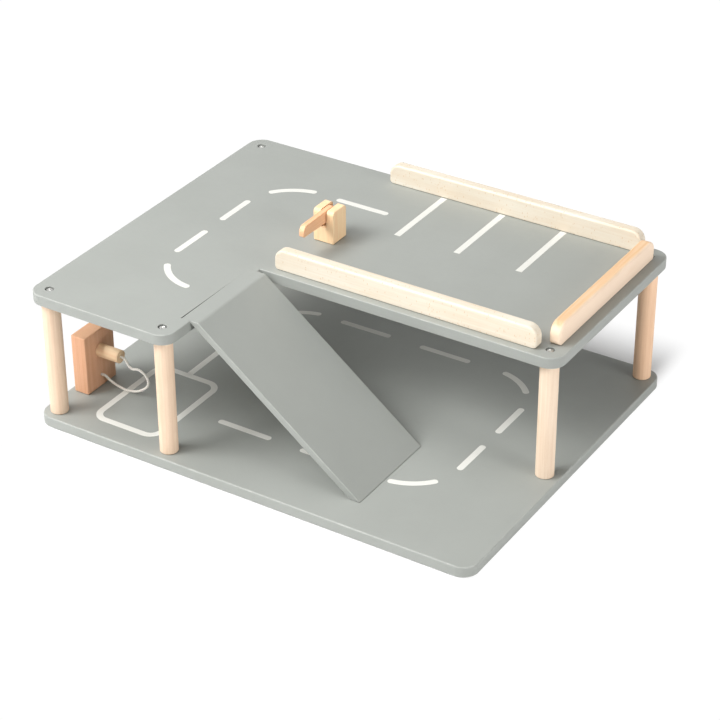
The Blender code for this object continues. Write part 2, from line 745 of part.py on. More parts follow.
def boom_arm():
    """Arm that tapers from its heel to its nose, with its origin on the pin's axis."""
    half = ARM_HEIGHT / 2
    heel = half - ARM_HEEL_FLAT / 2
    outline = rounded_outline(
        (
            (-ARM_REACH, ARM_TIP_RISE - half, ARM_CHIN_RADIUS),
            (half, -half, heel),
            (half, half, heel),
            (-ARM_REACH, half, ARM_NOSE_RADIUS),
        )
    )
    arm = plate("boom_arm", outline, ARM_THICKNESS, PARTS)
    place(arm, (POST_X, POST_Y, PIN_Z), ACROSS_X)
    ease_edges(arm, ARM_ARRIS, 1)
    hole = PIN_DIAMETER / 2 + BORE_CLEARANCE
    reach = ARM_THICKNESS
    profile = ((0, reach), (hole, reach), (hole, -reach), (0, -reach))
    bore = turned("boom_arm_bore", profile, PIN_SIDES, GUIDES)
    place(bore, (POST_X, POST_Y, PIN_Z), ALONG_X)
    return paint(cut(arm, [bore]), WARM_BEECH)


def boom_pin():
    """Steel pin pressed in from the left-hand cheek."""
    radius = PIN_DIAMETER / 2
    start = PIN_SUNK - POST_WIDTH / 2
    end = POST_WIDTH / 2 - PIN_END_WALL - SEAT_GAP
    profile = (
        (0, end),
        (radius - PIN_ARRIS, end),
        (radius, end - PIN_ARRIS),
        (radius, start + PIN_ARRIS),
        (radius - PIN_ARRIS, start),
        (0, start),
    )
    pin = turned("boom_pin", profile, PIN_SIDES, PARTS)
    return paint(place(pin, (POST_X, POST_Y, PIN_Z), ALONG_X), STEEL)


# Charging post

def charger_block():
    """Upright block with a socket for the plug and a small hole for the cord."""
    height = BLOCK_HEIGHT - SEAT_GAP
    body = block("charger_block", (BLOCK_WIDTH, BLOCK_DEPTH, height), PARTS)
    place(body, (BLOCK_X, BLOCK_Y, BLOCK_BOTTOM + height / 2))
    ease_edges(body, BLOCK_ARRIS)
    socket = bore_in_face("socket", PLUG_DIAMETER / 2 + BORE_CLEARANCE, SOCKET_DEPTH, PLUG_SIDES)
    place(socket, (BLOCK_FACE_X, BLOCK_Y, SOCKET_Z), ALONG_X)
    cord_hole = bore_in_face("cord_hole", CORD_DIAMETER / 2 + BORE_CLEARANCE, CORD_BORE_DEPTH, PLUG_SIDES)
    place(cord_hole, (BLOCK_FACE_X, BLOCK_Y, CORD_HOLE_Z), ALONG_X)
    depth = small_screw_reach(BLOCK_SCREW_LENGTH, BASE_THICKNESS)
    cutters = bores("block_bore", pilot_bore, depth, block_screw_points(), BLOCK_BOTTOM, UPSIDE_DOWN)
    small_screws("charger_screw", BLOCK_SCREW_LENGTH, block_screw_points(), 0)
    return paint(cut(body, cutters + [socket, cord_hole]), RED_BEECH)


def charge_plug():
    """Round plug in the socket, with the cord's hole in its outer end and its origin at the mouth."""
    radius = PLUG_DIAMETER / 2
    inner = SEAT_GAP - SOCKET_DEPTH
    hole = CORD_DIAMETER / 2 + BORE_CLEARANCE
    hole_end = PLUG_GRIP - CORD_BORE_DEPTH
    profile = (
        (0, hole_end),
        (hole, hole_end),
        (hole, PLUG_GRIP),
        (radius - PLUG_ARRIS, PLUG_GRIP),
        (radius, PLUG_GRIP - PLUG_ARRIS),
        (radius, inner + PLUG_ARRIS),
        (radius - PLUG_ARRIS, inner),
        (0, inner),
    )
    plug = turned("charge_plug", profile, PLUG_SIDES, PARTS)
    return paint(place(plug, (BLOCK_FACE_X, BLOCK_Y, SOCKET_Z), ALONG_X), WARM_BEECH)


def cord_points():
    """Points that the cord follows, from inside the plug to inside the block."""
    plug_height = SOCKET_Z - BASE_THICKNESS
    inside = CORD_BORE_DEPTH - SEAT_GAP
    start = [(PLUG_GRIP - inside, 0, plug_height), (PLUG_GRIP, 0, plug_height)]
    start.append((PLUG_GRIP + CORD_STRAIGHT, 0, plug_height))
    end = [(CORD_STRAIGHT, 0, CORD_HOLE_HEIGHT), (0, 0, CORD_HOLE_HEIGHT), (-inside, 0, CORD_HOLE_HEIGHT)]
    origin = Vector((BLOCK_FACE_X, BLOCK_Y, BASE_THICKNESS))
    return [origin + Vector(point) for point in (*start, *CORD_ROUTE, *end)]


def smooth_curve(points, fineness=12):
    """Close points on a smooth curve that passes through every given point."""
    ends = [2 * points[0] - points[1], *points, 2 * points[-1] - points[-2]]
    curve = []
    for before, start, end, after in zip(ends, ends[1:], ends[2:], ends[3:]):
        for step in range(fineness):
            t = step / fineness
            bend = 2 * before - 5 * start + 4 * end - after
            twist = 3 * start - before - 3 * end + after
            curve.append((2 * start + (end - before) * t + bend * t**2 + twist * t**3) / 2)
    return [*curve, points[-1]]


def even_points(curve, step):
    """Points about one step apart along a curve, with both of its ends."""
    lengths = [(after - before).length for before, after in zip(curve, curve[1:])]
    count = round(sum(lengths) / step)
    spacing = sum(lengths) / count
    points = [curve[0]]
    travelled = 0
    for before, after, length in zip(curve, curve[1:], lengths):
        while len(points) < count and travelled + length >= spacing * len(points):
            share = (spacing * len(points) - travelled) / length
            points.append(before.lerp(after, share))
        travelled += length
    return [*points, curve[-1]]


def charge_cord():
    """Cotton cord from the plug's end, in a loop over the base, to the block."""
    route = even_points(smooth_curve(cord_points()), CORD_STEP)
    curve = bpy.data.curves.new("charge_cord", "CURVE")
    curve.dimensions = "3D"
    curve.bevel_depth = CORD_DIAMETER / 2
    curve.bevel_resolution = 2
    curve.use_fill_caps = True
    spline = curve.splines.new("POLY")
    spline.points.add(len(route) - 1)
    for point, position in zip(spline.points, route):
        point.co = (*position, 1)
    cord = bpy.data.objects.new("charge_cord", curve)
    PARTS.objects.link(cord)
    return paint(cord, COTTON)


clear_scene()
PARTS = new_collection("toy_garage")
GUIDES = new_collection("guides")
base_deck()
upper_deck()
legs()
leg_screws()
rails()
ramp()
boom_post()
boom_arm()
boom_pin()
charger_block()
charge_plug()
charge_cord()
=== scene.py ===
"""Wooden toy garage: fine surfaces, finishes, road lines and cord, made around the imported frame.

Everything is in metres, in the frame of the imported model: +X along the garage's long side,
+Y to its back and +Z up, with the origin in the middle of the base's underside.
"""

import math

import bmesh
import bpy
from mathutils import Euler, Matrix, Vector


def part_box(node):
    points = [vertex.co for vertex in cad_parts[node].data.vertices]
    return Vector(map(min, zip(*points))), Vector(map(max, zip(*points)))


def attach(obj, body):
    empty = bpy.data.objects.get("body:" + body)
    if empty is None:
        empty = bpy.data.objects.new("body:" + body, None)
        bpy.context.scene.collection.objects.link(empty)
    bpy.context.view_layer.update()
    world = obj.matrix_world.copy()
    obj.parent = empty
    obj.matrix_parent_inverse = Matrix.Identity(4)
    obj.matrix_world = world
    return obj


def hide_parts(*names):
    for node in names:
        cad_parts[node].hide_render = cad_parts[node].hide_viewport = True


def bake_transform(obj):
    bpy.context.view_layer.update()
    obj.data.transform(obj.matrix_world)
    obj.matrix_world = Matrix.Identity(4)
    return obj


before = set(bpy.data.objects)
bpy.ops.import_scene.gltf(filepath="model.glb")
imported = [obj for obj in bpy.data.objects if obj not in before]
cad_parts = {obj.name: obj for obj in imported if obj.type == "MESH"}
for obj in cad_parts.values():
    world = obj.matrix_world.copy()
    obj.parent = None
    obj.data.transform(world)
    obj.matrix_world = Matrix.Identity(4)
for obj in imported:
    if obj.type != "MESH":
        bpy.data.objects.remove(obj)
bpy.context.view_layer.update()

MM = 0.001
BODY = "garage"

# Camera, as the photograph was taken
PHOTO_WIDTH = 720
FOCAL_PIXELS = 2283.1
SENSOR_WIDTH = 36.0
CAMERA_PLACE = (903.6 * MM, -1419.4 * MM, 1082.2 * MM)
CAMERA_YAW = math.radians(32.297)
CAMERA_DOWN = math.radians(31.685)
CAMERA_ROLL = math.radians(-0.261)
CAMERA_CLIP = (0.05, 50)

# Light: each lamp's place, size and power, all aimed at the garage's middle
LAMP_AIM = Vector((0, 0, 0.05))
LAMPS = (
    ("front left", (-1.25, -1.25, 1.77), 1.2, 60.0),
    ("left high", (-1.06, 0, 2.27), 1.2, 17.5),
    ("front", (0, -1.67, 1.86), 1.2, 17.0),
    ("front left low", (-1.17, -2.03, 0.86), 1.2, 10.0),
    ("right high", (1.06, 0, 2.27), 1.2, 3.0),
    ("right", (2.34, -0.2, 0.86), 0.9, 17.5),
    ("right low", (2.43, -0.52, 0.3), 0.7, 14.0),
)
WORLD_LEVEL = 0.1
FLOOR_LEVEL = 0.86
FLOOR_REACH = 6.0
FLOOR_DROP = 0.2 * MM
FLOOR_GLOW = 1.02
SHADOW_SIDES = (194 * MM, 218 * MM)
SHADOW_BACK = (176 * MM, 256 * MM)
WHITE = (1, 1, 1, 1)

# Edges and smoothing
SHARP_ANGLE = math.radians(40)
SMOOTH_ANGLE = math.radians(32)
NORMAL_WEIGHT = 60
MERGE_REACH = 0.01 * MM

# Holes, and the turns in degrees that point a hole's mouth or stand a board on its edge
HOLE_SIDES = 48
HOLE_FLARE = 0.15 * MM
BORE_CLEARANCE = 0.3 * MM
CUT_OVER = 1 * MM
UPWARD = (0, 0, 0)
DOWNWARD = (180, 0, 0)
RIGHTWARD = (0, 90, 0)
LEFTWARD = (0, -90, 0)
STANDING_ALONG_X = (90, 0, 0)
STANDING_ALONG_Y = (90, 0, 90)

# Boards
BOARD_CORNER_RADIUS = 14 * MM
NOTCH_CORNER_RADIUS = 0.8 * MM
BOARD_ARRIS = 1.1 * MM
LEG_INSET = 14 * MM
SEAT_GAP = 0.3 * MM

# Screws
DECK_SCREW_DIAMETER = 4 * MM
DECK_SCREW_HEAD_DIAMETER = 7.1 * MM
DECK_SCREW_HEAD_HEIGHT = 2.2 * MM
DECK_SCREW_SUNK = 0.9 * MM
DECK_SCREW_LENGTH = 28 * MM
DECK_SCREW_BORE = DECK_SCREW_DIAMETER / 2 + BORE_CLEARANCE
RECESS_CLEARANCE = 0.3 * MM
SMALL_SCREW_DIAMETER = 3 * MM
SMALL_SCREW_HEAD_DIAMETER = 6 * MM
SMALL_SCREW_SUNK = 0.4 * MM
SMALL_SCREW_BORE = SMALL_SCREW_DIAMETER / 2 + BORE_CLEARANCE
SCREW_TIP = 2.5 * MM
SCREW_HEAD_EDGE = 0.8 * MM
SCREW_SIDES = 48
SCREW_SEED = 5
CROSS_SPAN = 4.4 * MM
CROSS_WIDTH = 1.1 * MM
CROSS_DEPTH = 1.3 * MM
CROSS_TAPER = 0.55
# Painted shade on the deck screws' heads: the shares of the head's radius where the rim starts and ends
# turning dark
PAINTED_RIM_SHADE_FROM = 0.6
PAINTED_RIM_SHADE_TO = 0.82

# Legs
LEG_ARRIS = 0.7 * MM
LEG_SIDES = 72
AXIS_RADIUS = 0.001 * MM

# Rails
RAIL_END_RADIUS = 10 * MM
RAIL_FOOT_RADIUS = 3.5 * MM
RAIL_ARRIS = 2 * MM
RAIL_FOOT_ARRIS = 0.6 * MM

# Ramp
RAMP_THICKNESS = 6 * MM
RAMP_LIP_LENGTH = 16.2 * MM
RAMP_LIP_THICKNESS = 2 * MM
RAMP_ARRIS = 0.8 * MM
LIP_CLEARANCE = 0.05 * MM
LIP_SEAM = 1.1 * MM
LIP_SEAM_SHARE = 0.74
RAMP_CREASE_RADIUS = 5 * MM

# Boom gate
POST_FOOT_RADIUS = 0.9 * MM
POST_TOP_RADIUS = 3.5 * MM
POST_ARRIS = 1.1 * MM
FORK_WIDTH = 6.6 * MM
FORK_FLOOR = 15 * MM
FORK_FLOOR_RADIUS = 0.4 * MM
PIN_EDGE = 0.3 * MM
PIN_SIDES = 40
ARM_HEEL_FLAT = 0.1 * MM
ARM_NOSE_RADIUS = 6 * MM
ARM_TIP_RISE = 1.2 * MM
ARM_CHIN_RADIUS = 1.8 * MM
ARM_ARRIS = 0.5 * MM

# Charging post
BLOCK_ARRIS = 0.9 * MM
SOCKET_DEPTH = 8.5 * MM
SOCKET_FLARE = 0.3 * MM
PLUG_ARRIS = 0.6 * MM
PLUG_SIDES = 72
PLUG_HOLE_FLARE = 0.2 * MM
CORD_DIAMETER = 2.4 * MM
CORD_BORE = CORD_DIAMETER / 2 + BORE_CLEARANCE
CORD_BORE_DEPTH = 3.5 * MM
CORD_STRAIGHT = 1.7 * MM
CORD_HOLE_HEIGHT = 11.6 * MM
CORD_STRANDS = 3
CORD_LAY = 6.5 * MM
CORD_GROOVE = 0.2
CORD_SIDES = 36
CORD_STEP = 0.4 * MM
CORD_FINENESS = 14

# Route of the cord between its straight ends, from the plug to the block, in millimetres: out from
# the block's face, back from the block's middle and up from the base's top
CORD_ROUTE = (
    (26.0, 0.0, 36.2), (27.3, 0.1, 35.1), (28.5, 0.1, 33.3), (29.8, 0.2, 31.2),
    (31.2, 0.3, 29.3), (33.0, 0.4, 28.1), (35.1, 0.5, 27.8), (37.7, 0.7, 28.5),
    (40.5, 0.9, 28.8), (43.3, 1.1, 27.8), (46.3, 1.6, 25.5), (48.7, 2.0, 22.0),
    (49.4, 2.4, 17.8), (47.6, 2.7, 13.0), (43.2, 3.0, 8.4), (37.1, 3.1, 4.5),
    (30.7, 3.0, 2.3), (24.0, 2.7, 1.6), (17.6, 2.6, 2.5), (12.4, 2.5, 4.0),
    (8.6, 2.2, 5.8), (6.2, 1.6, 7.9), (4.8, 1.0, 9.8), (3.4, 0.4, 11.1),
)

# Road lines: their width, and their places in millimetres on each board
LINE_WIDTH = 5.9 * MM
LINE_THICKNESS = 0.12 * MM
LINE_STEP = 0.6 * MM
UPPER_DASHES = (
    ((-148.6, -50.5), (-148.4, -5.2)),
    ((-148.8, 17.5), (-148.6, 61.0)),
    ((-83.0, 103.8), (-29.2, 103.8)),
)
UPPER_ARCS = (
    ((-103.2, -49.4), 44.5, -151.5, -90.0),
    ((-98.3, 52.4), 53.5, 97.6, 145.4),
)
PARKING_LINE_X = (-2.2, 57.5, 118.3)
PARKING_LINE_START = 74.6
PARKING_LINE_GAP = 0.5
BASE_DASHES = (
    ((-74.7, -98.8), (-20.6, -98.8)),
    ((9.0, -98.8), (60.0, -98.8)),
    ((137.3, -54.9), (137.5, -12.3)),
    ((137.5, 9.9), (137.3, 55.4)),
    ((9.1, 97.2), (61.0, 97.4)),
    ((-75.2, 97.0), (-22.3, 97.6)),
    ((-140.0, 12.0), (-140.0, 54.0)),
)
BASE_ARCS = (
    ((88.3, 47.7), 50.5, 36.5, 83.0),
    ((88.5, -46.7), 52.6, -82.7, -36.1),
    ((-89.5, 47.2), 51.0, 98.8, 143.5),
)
BAY_CORNERS = ((-170.0, -149.0), (-106.3, -149.0), (-106.3, -53.2), (-170.0, -53.2))
BAY_RADIUS = 11.0
BAY_LEAD = ((-140.0, -51.0), (-140.0, 2.0))

# Woods: the grain's axis, the pale and the deep colour, and how strong each of the marks is
TIMBER_MARKS = ("Rings", "Streaks", "Pores", "Rays")
WOODS = {
    "leg beech": ("z", (0.81, 0.63, 0.475), (0.65, 0.435, 0.285), (0.12, 0.35, 0.25, 0.1)),
    "rail beech": ("x", (0.775, 0.72, 0.615), (0.64, 0.47, 0.29), (0.05, 0.2, 0.15, 1.1)),
    "side rail beech": ("y", (0.79, 0.56, 0.36), (0.69, 0.41, 0.20), (0.2, 0.45, 0.2, 0.3)),
    "post beech": ("z", (0.97, 0.735, 0.465), (0.92, 0.505, 0.25), (0.1, 0.3, 0.25, 0.15)),
    "arm beech": ("y", (0.93, 0.585, 0.355), (0.83, 0.41, 0.2), (0.15, 0.35, 0.25, 0.15)),
    "block hardwood": ("z", (0.77, 0.45, 0.28), (0.61, 0.29, 0.155), (0.15, 0.35, 0.3, 0.2)),
    "plug beech": ("x", (0.89, 0.68, 0.44), (0.78, 0.46, 0.26), (0.2, 0.4, 0.3, 0.15)),
}
GRAIN_TURNS = {"x": (0, 0, 0), "y": (0, 0, math.radians(-90)), "z": (0, math.radians(90), 0)}
GRAIN_SHIFTS = {"side rail beech": (0.3, 0.02, 0.02)}
HEART_ACROSS = 47 * MM
HEART_ABOVE = 31 * MM
HEART_WARP = 9 * MM
RING_TURN = 2800.0
TIMBER_RELIEF = 0.03 * MM
SATIN_SPECULAR = 0.4
# Painted light on the side rail's right face: the paler colour it turns to, the width of the blend and how
# far it goes
RIGHT_FACE_PAINTED_LIGHT = (0.93, 0.75, 0.595, 1)
RIGHT_FACE_LIGHT_BLEND = 2.5 * MM
RIGHT_FACE_LIGHT_SHARE = 0.85
END_GRAIN_SHARE = 0.85
END_GRAIN_FACING = (0.5, 0.9)
BLOCK_END_GRAIN = (0.55, 0.315, 0.185, 1)
RAIL_END_GRAIN = (0.86, 0.69, 0.53, 1)
# Painted light on the legs: the back legs turn warmer and lighter and the right front one lighter and
# cooler, over the given ranges of Y and X
BACK_LEG_PAINTED_LIGHT = (1.16, 1.03, 0.93, 1)
BACK_LEGS = (20 * MM, 60 * MM)
RIGHT_LEG_PAINTED_LIGHT = (1.04, 1.09, 1.13, 1)
RIGHT_LEGS = (100 * MM, 150 * MM)


class Box:
    """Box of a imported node: its low and its high corner, its size and its middle."""

    def __init__(self, node):
        self.low, self.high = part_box(node)
        self.size = self.high - self.low
        self.middle = (self.low + self.high) / 2


# Places that follow from the frame
LEFT, FRONT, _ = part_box("base_deck")[0]
RIGHT, BACK, BASE_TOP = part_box("base_deck")[1]
DECK_BOTTOM, DECK_TOP = [corner.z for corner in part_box("upper_deck")]
DECK_THICKNESS = DECK_TOP - DECK_BOTTOM
LEG_NAMES = ("front_left", "front_middle", "front_right", "back_right", "back_left")
LEG_PLACES = [Box("leg_" + name).middle.xy for name in LEG_NAMES]
WING_EDGE = LEG_PLACES[1].x + LEG_INSET
NOTCH_EDGE = LEG_PLACES[2].y - LEG_INSET
RAIL_SCREWS = [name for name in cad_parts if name.startswith("rail_screw")]
RAMP_SCREWS = ("ramp_screw_1", "ramp_screw_2")
BLOCK_SCREWS = ("charger_screw_1", "charger_screw_2")
RAMP = Box("ramp")
PIN = Box("boom_pin")
PIN_RADIUS = PIN.size.z / 2
BLOCK = Box("charger_block")
PLUG = Box("charge_plug")
PLUG_RADIUS = PLUG.size.z / 2
PLUG_HEIGHT = PLUG.middle.z - BASE_TOP
PLUG_GRIP = PLUG.high.x - BLOCK.high.x
BLOCK_FACE = Vector((BLOCK.high.x, BLOCK.middle.y, BASE_TOP))


# Shapes

def new_object(name, data):
    """Put a mesh, a lamp or a camera in the scene as an object at the origin."""
    obj = bpy.data.objects.new(name, data)
    bpy.context.scene.collection.objects.link(obj)
    return obj


def from_shape(name, shape):
    """Turn an edited shape into an object, with its faces pointing outwards."""
    bmesh.ops.recalc_face_normals(shape, faces=shape.faces)
    mesh = bpy.data.meshes.new(name)
    shape.to_mesh(mesh)
    shape.free()
    return new_object(name, mesh)


def settle(obj):
    """Give an object its evaluated mesh, with no modifier left on it."""
    bpy.context.view_layer.update()
    depsgraph = bpy.context.evaluated_depsgraph_get()
    mesh = bpy.data.meshes.new_from_object(obj.evaluated_get(depsgraph))
    obj.modifiers.clear()
    obj.data = mesh
    return obj


def apply(obj, kind, **settings):
    """Give an object a modifier with its settings, and keep only the result."""
    modifier = obj.modifiers.new(kind, kind)
    for name, value in settings.items():
        setattr(modifier, name, value)
    return settle(obj)


def placed(location, turn=UPWARD):
    """Matrix of a place and a turn in degrees about X, Y and Z."""
    return Matrix.LocRotScale(Vector(location), Euler([math.radians(angle) for angle in turn]), None)


def fillet(before, corner, after, radius, steps):
    """Points of the arc that rounds one corner of an outline."""
    to_before = (before - corner).normalized()
    to_after = (after - corner).normalized()
    half_angle = to_before.angle(to_after) / 2
    centre = corner + (to_before + to_after).normalized() * radius / math.sin(half_angle)
    start = corner + to_before * radius / math.tan(half_angle) - centre
    sweep = start.angle_signed(corner + to_after * radius / math.tan(half_angle) - centre)
    return [centre + Matrix.Rotation(-sweep * step / steps, 2) @ start for step in range(steps + 1)]


def rounded_outline(corners, steps=16):
    """Closed outline through corners, each given as its x, its y and its radius."""
    points = []
    for index, (x, y, radius) in enumerate(corners):
        corner = Vector((x, y))
        if radius == 0:
            points.append(corner)
            continue
        before = Vector(corners[index - 1][:2])
        after = Vector(corners[(index + 1) % len(corners)][:2])
        points.extend(fillet(before, corner, after, radius, steps))
    return points


def rectangle(left, right, near, far, near_radius=0, far_radius=0):
    """Outline of a rectangle with its own corner radius at its near and its far side."""
    near_corners = [(x, near, near_radius) for x in (left, right)]
    far_corners = [(x, far, far_radius) for x in (right, left)]
    return rounded_outline(near_corners + far_corners)


def bevel(shape, edges, radius, segments):
    """Round edges of a shape, and give the faces that this makes."""
    rounding = {"offset": radius, "segments": segments, "profile": 0.5, "clamp_overlap": True}
    return bmesh.ops.bevel(shape, geom=edges, affect="EDGES", **rounding)["faces"]


def slab(name, outline, thickness, matrix=Matrix.Identity(4), arris=0, segments=5, eased=lambda edge: True):
    """Board of an outline in XY, its thickness shared above and below, then put in its place.

    Where it has an arris, its sharp edges are rounded if they pass the test in eased.
    """
    shape = bmesh.new()
    worn = shape.faces.layers.float.new("arris")
    face = shape.faces.new([shape.verts.new((x, y, -thickness / 2)) for x, y in outline])
    grown = bmesh.ops.extrude_face_region(shape, geom=[face])["geom"]
    lifted = [item for item in grown if isinstance(item, bmesh.types.BMVert)]
    bmesh.ops.translate(shape, verts=lifted, vec=(0, 0, thickness))
    bmesh.ops.recalc_face_normals(shape, faces=shape.faces)
    if arris:
        sharp = [edge for edge in shape.edges if edge.calc_face_angle(0) > SHARP_ANGLE and eased(edge)]
        # The rounded faces are marked as arrises, which the paint makes lighter: partly wear, partly a
        # painted highlight
        for face in bevel(shape, sharp, arris, segments):
            face[worn] = 1.0
    shape.transform(matrix)
    return from_shape(name, shape)


def turned_shape(shape, profile, sides, matrix):
    """Add a round solid to a shape, turned about its matrix's Z from a profile of (radius, height)."""
    points = [shape.verts.new(matrix @ Vector((radius, 0, height))) for radius, height in profile]
    edges = [shape.edges.new(pair) for pair in zip(points, points[1:])]
    turn = {"axis": matrix.col[2].xyz, "cent": matrix.translation, "angle": math.tau, "steps": sides}
    bmesh.ops.spin(shape, geom=points + edges, use_merge=True, **turn)
    bmesh.ops.remove_doubles(shape, verts=shape.verts, dist=MERGE_REACH)


def turned(name, profile, sides, matrix=Matrix.Identity(4)):
    """Round piece turned about its matrix's Z from a profile of (radius, height)."""
    shape = bmesh.new()
    turned_shape(shape, profile, sides, matrix)
    return from_shape(name, shape)


def rim(radius, end, edge, steps):
    """Profile of a rounded rim, from its flat end out to its side."""
    points = []
    for step in range(steps + 1):
        angle = math.radians(90) * (1 - step / steps)
        points.append((radius - edge + edge * math.cos(angle), end - edge + edge * math.sin(angle)))
    return points


def upside_down(profile):
    """Profile with its other end up."""
    return [(radius, -height) for radius, height in reversed(profile)]


def tube(shape, rings):
    """Close a tube over rings of points: its side faces, each with the numbers of its ring and corner."""
    sides = []
    for row, (ring, beyond) in enumerate(zip(rings, rings[1:])):
        for corner in range(len(ring)):
            after = (corner + 1) % len(ring)
            face = shape.faces.new((ring[corner], ring[after], beyond[after], beyond[corner]))
            sides.append((face, row, corner))
    shape.faces.new(rings[0])
    shape.faces.new(rings[-1])
    return sides


def subtract(obj, cutter):
    """Cut one shape out of a piece."""
    apply(obj, "BOOLEAN", operation="DIFFERENCE", solver="EXACT", object=cutter)
    bpy.data.objects.remove(cutter, do_unlink=True)
    return obj


def cut(obj, holes):
    """Cut round holes out of a piece, each given as its profile and its matrix."""
    shape = bmesh.new()
    for profile, matrix in holes:
        turned_shape(shape, profile, HOLE_SIDES, matrix)
    return subtract(obj, from_shape(obj.name + "_holes", shape))


def hole(mouth, *steps):
    """Profile of a hole down from a face at height 0: its radius over the face, then its steps."""
    return [(0, CUT_OVER), (mouth, CUT_OVER), *steps, (0, steps[-1][1])]


def blind_hole(radius, depth, flare=HOLE_FLARE):
    """Blind hole with a slight chamfer at its mouth, which runs on as a cone over the face."""
    return hole(radius + flare + CUT_OVER, (radius, -flare), (radius, -depth))


def screw_recess(depth):
    """Recess of a deck screw, chamfered in the same way, with its hole through a board of a depth."""
    head = DECK_SCREW_HEAD_DIAMETER / 2 + RECESS_CLEARANCE
    floor = DECK_SCREW_SUNK + DECK_SCREW_HEAD_HEIGHT + SEAT_GAP
    wall = ((head, -HOLE_FLARE), (head, -floor), (DECK_SCREW_BORE, -floor))
    return hole(head + HOLE_FLARE + CUT_OVER, *wall, (DECK_SCREW_BORE, -depth - CUT_OVER))


def countersink(depth):
    """Countersink of a small screw, with its hole through a board of a depth."""
    head = SMALL_SCREW_HEAD_DIAMETER / 2 + BORE_CLEARANCE
    bore = SMALL_SCREW_BORE
    floor = SMALL_SCREW_SUNK + 2 * SEAT_GAP
    return hole(head, (head, -floor), (bore, -floor - head + bore), (bore, -depth - CUT_OVER))


def pilot_holes(screws, seat):
    """Holes up from a seat's height that small screws run into."""
    holes = []
    for box in map(Box, screws):
        profile = blind_hole(SMALL_SCREW_BORE, box.high.z - seat + SEAT_GAP)
        holes.append((profile, placed((*box.middle.xy, seat), DOWNWARD)))
    return holes


def countersinks(screws, face, depth):
    """Countersunk holes up from a board's underside for small screws."""
    return [(countersink(depth), placed((*Box(name).middle.xy, face), DOWNWARD)) for name in screws]


# Nodes

class Value:
    """Output of a node. Arithmetic on it adds Math nodes, and an index picks another output."""

    def __init__(self, socket):
        self.socket = socket
        self.tree = socket.id_data

    def __getitem__(self, output):
        return Value(self.socket.node.outputs[output])

    def __add__(self, other):
        return maths("ADD", self, other)

    def __sub__(self, other):
        return maths("SUBTRACT", self, other)

    def __rsub__(self, other):
        return maths("SUBTRACT", other, self)

    def __mul__(self, other):
        return maths("MULTIPLY", self, other)


def fill(inputs, values):
    """Link a node's inputs, by name or number, to values of other nodes, or set plain ones."""
    for name, value in dict(values).items():
        if isinstance(value, Value):
            value.tree.links.new(value.socket, inputs[name])
        else:
            inputs[name].default_value = value


def add(tree, kind, inputs=(), **settings):
    """Add a node with its settings and inputs, and give its first output."""
    made = tree.nodes.new(kind)
    for name, value in settings.items():
        setattr(made, name, value)
    fill(made.inputs, inputs)
    return Value(made.outputs[0])


def tree_of(values):
    """Tree that values of nodes, among plain ones, belong to."""
    return next(value.tree for value in values if isinstance(value, Value))


def maths(operation, *values, clamp=False):
    """Result of a Math node."""
    inputs = dict(enumerate(values))
    return add(tree_of(values), "ShaderNodeMath", inputs, operation=operation, use_clamp=clamp)


def clamped(value):
    """Value kept between 0 and 1."""
    return maths("ADD", value, 0.0, clamp=True)


def scaled(vector, scale):
    """Vector times another, axis by axis."""
    return add(vector.tree, "ShaderNodeVectorMath", {0: vector, 1: scale}, operation="MULTIPLY")


def separate(vector):
    """Parts X, Y and Z of a vector."""
    return add(vector.tree, "ShaderNodeSeparateXYZ", {"Vector": vector})


def noise(vector, scale, detail=3.0, roughness=0.5):
    """Noise from 0 to 1 on a vector stretched along each axis."""
    inputs = {"Vector": scaled(vector, scale), "Scale": 1.0, "Detail": detail, "Roughness": roughness}
    return add(vector.tree, "ShaderNodeTexNoise", inputs, noise_dimensions="3D")


def ramp_up(value, low, high):
    """Value that rises smoothly from 0 at low to 1 at high."""
    inputs = {"Value": value, "From Min": low, "From Max": high}
    return add(value.tree, "ShaderNodeMapRange", inputs, interpolation_type="SMOOTHSTEP")


def mix_colours(share, first, second, blend="MIX"):
    """Colour between two others."""
    inputs = {0: share, 6: first, 7: second}
    return add(tree_of(inputs.values()), "ShaderNodeMix", inputs, data_type="RGBA", blend_type=blend)[2]


def object_place(tree):
    """Place on a piece, which is a place on the garage too."""
    return add(tree, "ShaderNodeTexCoord")["Object"]


def attribute(tree, name):
    """Number that a mesh holds under a name."""
    return add(tree, "ShaderNodeAttribute", attribute_name=name)["Fac"]


def new_tree(name, kind, inputs, outputs):
    """Empty node tree with inputs and outputs of named kinds: the tree, what it is given and its result."""
    tree = bpy.data.node_groups.new(name, kind + "NodeTree")
    for in_out, sockets in (("INPUT", inputs), ("OUTPUT", outputs)):
        for label, socket in sockets.items():
            tree.interface.new_socket(label, in_out=in_out, socket_type="NodeSocket" + socket)
    given = Value(tree.nodes.new("NodeGroupInput").outputs[0])
    return tree, given, tree.nodes.new("NodeGroupOutput").inputs


def surface_group(name, colours, numbers):
    """Empty shader group of a surface, with named colours and numbers beside its place."""
    inputs = {"Vector": "Vector"}
    inputs.update(dict.fromkeys(colours, "Color"))
    inputs.update(dict.fromkeys(numbers, "Float"))
    return new_tree(name, "Shader", inputs, {"Color": "Color", "Roughness": "Float", "Height": "Float"})


